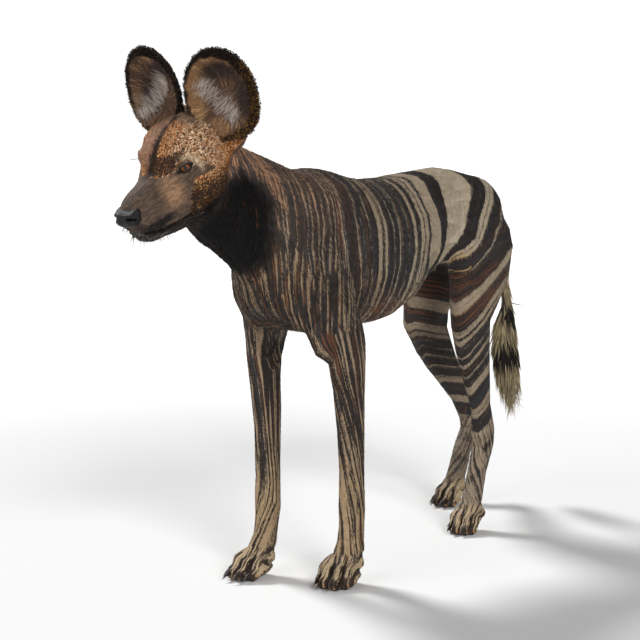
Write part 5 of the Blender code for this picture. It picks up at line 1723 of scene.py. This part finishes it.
def build_claws(length=CLAW_LENGTH, thickness=CLAW_RADIUS):
    """Four curved claws on each paw, oval in section, with their roots in the toes."""
    bm = bmesh.new()
    tips, grains = [], []
    rings, sides = 14, 12
    for paw in PAWS:
        place, size = paw_frame(paw)
        for index, (across, tip, radius) in enumerate(toes(size)):
            loops = []
            for step in range(rings):
                share = step / (rings - 1.0)
                t = -0.25 + 1.25 * share
                bend = t * CLAW_BEND
                reach = length * size * math.sin(bend) / CLAW_BEND
                drop = length * size * (1.0 - math.cos(bend)) / CLAW_BEND
                centre = Vector((across, -(tip + radius * 0.86 + reach), CLAW_HEIGHT * size - drop))
                thick = thickness * (1.0 - 0.84 * max(t, 0.0) ** 1.15)
                loop = []
                for turn in turns(sides):
                    c, s = math.cos(turn), math.sin(turn)
                    ridge = 1.0 + 0.10 * max(0.0, s) ** 3
                    outward = Vector((c * thick * 0.78, 0.0, s * thick * ridge))
                    loop.append(bm.verts.new(place @ (centre + outward)))
                    tips.append(max(t, 0.0))
                    grains.append((index * 7.0 + 2.5 * c, 2.5 * s, 1.5 * t + across * 300.0))
                loops.append(loop)
            join_rings(bm, loops)
            bm.faces.new(reversed(loops[0]))
            bm.faces.new(loops[-1])
    bmesh.ops.recalc_face_normals(bm, faces=bm.faces)
    bm.transform(Matrix.Translation(ORIGIN))
    claws = object_from("claws", bm)
    store(claws.data, "tip", "FLOAT", tips)
    store(claws.data, "grain", "FLOAT_VECTOR", grains)
    claws.data.shade_smooth()
    nodes = [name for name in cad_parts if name.startswith("claw_")]
    finished(claws, new_material("worn_claw_horn", horn_look), nodes)


def bristle_look(tree):
    """Smooth black whisker hair."""
    tone = mix_colour(ramp(attribute(tree, "tip", "Fac"), 0.2, 1.0), linear("#0d0a09"), linear("#2a221d"))
    return tone, {"Roughness": 0.45}


def add_strand(bm, tips, root, direction, droop, length, radius, rings=7, sides=4):
    """One long tapering hair from a root, bending towards a droop direction."""
    direction = direction.normalized()
    side = direction.cross(Vector((0.0, 0.0, 1.0)))
    if side.length < 0.1:
        side = direction.cross(Vector((1.0, 0.0, 0.0)))
    side.normalize()
    rise = side.cross(direction).normalized()
    loops = []
    for step in range(rings):
        t = step / (rings - 1.0)
        centre = root + direction * (length * t) + droop * (length * t * t)
        thick = radius * (1.0 - 0.88 * t)
        loops.append([bm.verts.new(centre + (side * math.cos(turn) + rise * math.sin(turn)) * thick)
                      for turn in turns(sides)])
        tips += [t] * sides
    join_rings(bm, loops)
    bm.faces.new(reversed(loops[0]))
    bm.faces.new(loops[-1])


def build_whiskers(skin):
    """Bristles on the lips, chin, cheeks and brows, rooted in the skin."""
    tree = BVHTree.FromObject(skin, bpy.context.evaluated_depsgraph_get())
    turn = head_matrix().to_3x3()
    random = np.random.default_rng(12)
    bm = bmesh.new()
    tips = []
    beds = (
        ((0.098, 0.012, -0.052), (0.006, 0.008, 0.005), (0.55, 0.25, -0.7), 0.011, 14),
        ((0.070, 0.028, -0.058), (0.020, 0.004, 0.006), (0.1, 0.9, -0.35), 0.016, 12),
        ((0.092, 0.008, -0.072), (0.010, 0.008, 0.003), (0.25, 0.25, -1.0), 0.011, 14),
        ((0.060, 0.014, -0.090), (0.022, 0.008, 0.003), (-0.05, 0.25, -1.0), 0.012, 12),
        ((0.018, 0.036, -0.088), (0.010, 0.006, 0.004), (-0.25, 0.25, -1.0), 0.024, 4),
        ((0.014, 0.034, 0.016), (0.006, 0.006, 0.003), (0.45, 0.75, 0.75), 0.022, 3),
    )
    for centre, spread, aim, length, count in beds:
        for _, sign in SIDES:
            for _ in range(count):
                place = [c + s * random.uniform(-1.0, 1.0) for c, s in zip(centre, spread)]
                root = head_matrix() @ Vector((place[0], sign * place[1], place[2])) + ORIGIN
                near = tree.find_nearest(root)
                direction = Vector([a + 0.35 * random.uniform(-1.0, 1.0) for a in aim])
                direction.y *= sign
                aimed = (turn @ direction).normalized() + 0.6 * near[1]
                droop = Vector((0.0, 0.0, -0.25 * random.uniform(0.2, 1.0)))
                add_strand(bm, tips, near[0] - 0.001 * near[1], aimed, droop,
                           length * random.uniform(0.7, 1.5), 0.00042)
    whiskers = object_from("whiskers", bm)
    face_outwards(whiskers.data)
    store(whiskers.data, "tip", "FLOAT", tips)
    finished(whiskers, new_material("black_whisker_hair", bristle_look))


def face_outwards(mesh):
    """Turns a mesh's faces outwards and shades it smooth."""
    with editing(mesh) as bm:
        bmesh.ops.recalc_face_normals(bm, faces=bm.faces)
    mesh.shade_smooth()


def ear_hair_look(tree):
    """Long whitish ear hair, greyer at its roots."""
    tone = mix_colour(attribute(tree, "shade", "Fac"), linear("#6f5f54"), linear("#efe4d8"))
    tone = mix_colour(ramp(attribute(tree, "tip", "Fac"), 0.30, 0.0), tone, linear("#5a4a40"))
    return tone, {"Roughness": 0.6, "Specular IOR Level": 0.3}


def build_ear_hair(skin):
    """A fan of long whitish hairs on the inner lower side of each ear's cup."""
    tree = BVHTree.FromObject(skin, bpy.context.evaluated_depsgraph_get())
    random = np.random.default_rng(7)
    bm = bmesh.new()
    tips, shades = [], []
    for side, sign in SIDES:
        matrix = ear_matrix(side, sign)
        turn = matrix.to_3x3()
        shift = 0.0 if side == "left" else 0.60
        for _ in range(EAR_HAIRS):
            share = random.uniform(0.0, 1.0)
            start_s, start_t = [np.interp(share, FAN_SHARES, [row[i] for row in FAN_ROOTS]) for i in (0, 1)]
            end_s, end_t = [np.interp(share, FAN_SHARES, [row[i] for row in FAN_TIPS]) for i in (0, 1)]
            part = random.uniform(0.22, 0.70)
            s = start_s + shift + part * (end_s - start_s) + 0.05 * random.normal()
            t = start_t + part * (end_t - start_t) + 0.05 * random.normal()
            origin = matrix @ Vector((s * 0.5 * EAR_WIDTH, t * 0.5 * EAR_HEIGHT, 0.02)) + ORIGIN
            hit = tree.ray_cast(origin, -(turn @ Vector((0.0, 0.0, 1.0))), 0.07)
            if hit[0] is None:
                continue
            run = Vector(((end_s - start_s) * EAR_WIDTH, (end_t - start_t) * EAR_HEIGHT, 0.0))
            aim = run.normalized() + Vector((0.20 * random.normal(), 0.20 * random.normal(), 0.12))
            aim = (turn @ aim).normalized()
            aim = (aim - 0.85 * aim.dot(hit[1]) * hit[1]).normalized() + 0.16 * hit[1]
            droop = turn @ Vector((0.10, -0.14, 0.0)) + 0.05 * hit[1]
            length = random.uniform(0.010, 0.025)
            count = len(tips)
            add_strand(bm, tips, hit[0] - 0.0005 * hit[1], aim, droop, length, 0.00030, 6, 3)
            shades += [random.uniform(0.0, 1.0)] * (len(tips) - count)
    hair = object_from("ear_hair", bm)
    face_outwards(hair.data)
    store(hair.data, "tip", "FLOAT", tips)
    store(hair.data, "shade", "FLOAT", shades)
    finished(hair, new_material("whitish_ear_hair", ear_hair_look))


# Stage

def floor_look(tree):
    """Matt and pale, with a painted glow that makes it lighter far off."""
    glow = {"Emission Color": linear("#ffffff"), "Emission Strength": attribute(tree, "far", "Fac") * 0.35}
    return linear("#e6e6e6"), {"Roughness": 0.9, "Specular IOR Level": 0.1, **glow}


def build_stage(lens=CAMERA_LENS):
    """A pale seamless floor, soft lights and the photo's camera."""
    bm = bmesh.new()
    radii = (0.8, 1.4, 2.0, 2.8, 4.0, 6.0, 300.0)
    loops = [[bm.verts.new((radius * math.cos(turn), radius * math.sin(turn), 0.0))
              for turn in turns(FLOOR_SIDES)] for radius in radii]
    bm.faces.new(loops[0])
    join_rings(bm, loops[::-1])
    floor = object_from("floor", bm)
    store(floor.data, "far", "FLOAT", np.repeat(smooth(0.8, 4.0, np.array(radii)), FLOOR_SIDES))
    floor.data.materials.append(new_material("pale_studio_floor", floor_look))
    floor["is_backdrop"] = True
    world = bpy.data.worlds.new("studio")
    world.use_nodes = True
    tree = world.node_tree
    lit = tree.nodes["Background"]
    plug(tree, linear("#ffffff"), lit.inputs[0])
    plug(tree, 0.09, lit.inputs[1])
    seen = wire(tree, "ShaderNodeBackground", {0: linear("#ffffff"), 1: 1.2})
    ray = wire(tree, "ShaderNodeLightPath", output="Is Camera Ray")
    both = wire(tree, "ShaderNodeMixShader", {0: ray, 1: Wire(lit.outputs[0]), 2: seen})
    plug(tree, both, tree.nodes["World Output"].inputs[0])
    bpy.context.scene.world = world
    bpy.context.scene.view_settings.view_transform = "Standard"
    bpy.context.scene.view_settings.look = "None"
    for name, (place, strength, spread) in LIGHTS.items():
        data = bpy.data.lights.new(name, "SUN")
        data.energy = strength
        data.angle = math.radians(spread)
        light = add_object(name, data)
        light.location = 3.0 * place
        light.rotation_euler = place.to_track_quat("Z", "Y").to_euler()
    data = bpy.data.cameras.new("camera")
    data.lens = lens
    data.sensor_width = 36.0
    camera = add_object("camera", data)
    camera.location = CAMERA_PLACE + ORIGIN
    camera.rotation_euler = (CAMERA_TARGET - CAMERA_PLACE).to_track_quat("-Z", "Y").to_euler()
    bpy.context.scene.camera = camera


def plain(box):
    """A box as lists of numbers."""
    return [[float(value) for value in corner] for corner in box]


def built_skin():
    """The skin that the other steps stand on."""
    skin = bpy.data.objects.get("skin")
    if skin is None or not len(skin.data.vertices):
        raise RuntimeError("the skin is not built yet")
    return skin


class DOG_PG_build(bpy.types.PropertyGroup):
    """Sizes and seeds that the steps read"""
    skin_voxel: bpy.props.FloatProperty(
        name="Skin voxel", description="Edge of the voxels that join the flesh into one skin",
        default=SKIN_VOXEL, min=0.001, max=0.02, unit="LENGTH")
    skin_share: bpy.props.FloatProperty(
        name="Skin share", description="Share of the joined skin's faces that is kept",
        default=SKIN_SHARE, min=0.02, max=1.0, subtype="FACTOR")
    tuft_share: bpy.props.FloatProperty(
        name="Tuft length", description="Length of the tufts as a share of their own length",
        default=1.0, min=0.1, max=2.0, subtype="FACTOR")
    coat_seed: bpy.props.IntProperty(
        name="Coat seed", description="Seed from which the tufts are strewn", default=3, min=0)
    claw_length: bpy.props.FloatProperty(
        name="Claw length", description="Length of a forepaw's claw along its bend",
        default=CLAW_LENGTH, min=0.005, max=0.03, unit="LENGTH")
    claw_radius: bpy.props.FloatProperty(
        name="Claw radius", description="Half height of a claw at its root",
        default=CLAW_RADIUS, min=0.001, max=0.006, unit="LENGTH")
    camera_lens: bpy.props.FloatProperty(
        name="Camera lens", description="Focal length of the photo's camera",
        default=CAMERA_LENS, min=20.0, max=300.0, unit="CAMERA")


class DOG_OT_skin(bpy.types.Operator):
    """Build the one skin over all the flesh, with its markings"""
    bl_idname = "dog.skin"
    bl_label = "Skin"

    def execute(self, context):
        settings = context.scene.dog_build
        skin = build_skin(settings.skin_voxel, settings.skin_share)
        if not len(skin.data.polygons):
            raise RuntimeError("the skin came out empty")
        mark_skin(skin.data)
        finished(skin, new_material("skin_with_flat_hair", coat_look, False), FLESH)
        print("skin", len(skin.data.polygons), "triangles")
        return {"FINISHED"}


class DOG_OT_coat(bpy.types.Operator):
    """Grow the tufts of the coat on the skin"""
    bl_idname = "dog.coat"
    bl_label = "Coat"

    def execute(self, context):
        settings = context.scene.dog_build
        made = build_coats(built_skin(), settings.tuft_share, settings.coat_seed)
        if any(not len(piece.data.polygons) for piece in made):
            raise RuntimeError("a part of the coat came out empty")
        return {"FINISHED"}


class DOG_OT_eyes(bpy.types.Operator):
    """Build both eyeballs"""
    bl_idname = "dog.eyes"
    bl_label = "Eyes"

    def execute(self, context):
        build_eyes()
        return {"FINISHED"}


class DOG_OT_nose(bpy.types.Operator):
    """Build the nose leather"""
    bl_idname = "dog.nose"
    bl_label = "Nose"

    def execute(self, context):
        build_nose()
        return {"FINISHED"}


class DOG_OT_claws(bpy.types.Operator):
    """Build the sixteen claws"""
    bl_idname = "dog.claws"
    bl_label = "Claws"

    def execute(self, context):
        settings = context.scene.dog_build
        build_claws(settings.claw_length, settings.claw_radius)
        return {"FINISHED"}


class DOG_OT_hairs(bpy.types.Operator):
    """Build the whiskers and the long hair in the ears"""
    bl_idname = "dog.hairs"
    bl_label = "Whiskers and ear hair"

    def execute(self, context):
        build_whiskers(built_skin())
        build_ear_hair(built_skin())
        return {"FINISHED"}


class DOG_OT_stage(bpy.types.Operator):
    """Lay the floor and place the lights and the camera"""
    bl_idname = "dog.stage"
    bl_label = "Stage"

    def execute(self, context):
        build_stage(context.scene.dog_build.camera_lens)
        return {"FINISHED"}


class DOG_PT_panel(bpy.types.Panel):
    """The steps of the dog, in order"""
    bl_idname = "DOG_PT_panel"
    bl_label = "African wild dog"
    bl_space_type = "VIEW_3D"
    bl_region_type = "UI"
    bl_category = "Wild dog"

    def draw(self, context):
        for operator in OPERATORS:
            self.layout.operator(operator.bl_idname)


OPERATORS = (DOG_OT_skin, DOG_OT_coat, DOG_OT_eyes, DOG_OT_nose, DOG_OT_claws, DOG_OT_hairs, DOG_OT_stage)
CLASSES = (DOG_PG_build,) + OPERATORS + (DOG_PT_panel,)


def register():
    for item in CLASSES:
        bpy.utils.register_class(item)
    bpy.types.Scene.dog_build = bpy.props.PointerProperty(type=DOG_PG_build)


def unregister():
    del bpy.types.Scene.dog_build
    for item in reversed(CLASSES):
        bpy.utils.unregister_class(item)


def main():
    cad_box = plain(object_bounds())
    register()
    bpy.ops.dog.skin()
    bpy.ops.dog.coat()
    bpy.ops.dog.eyes()
    bpy.ops.dog.nose()
    bpy.ops.dog.claws()
    bpy.ops.dog.hairs()
    bpy.ops.dog.stage()
    bpy.context.view_layer.update()
    {"cad": cad_box, "visual": plain(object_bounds())}


if __name__ == "__main__":
    main()
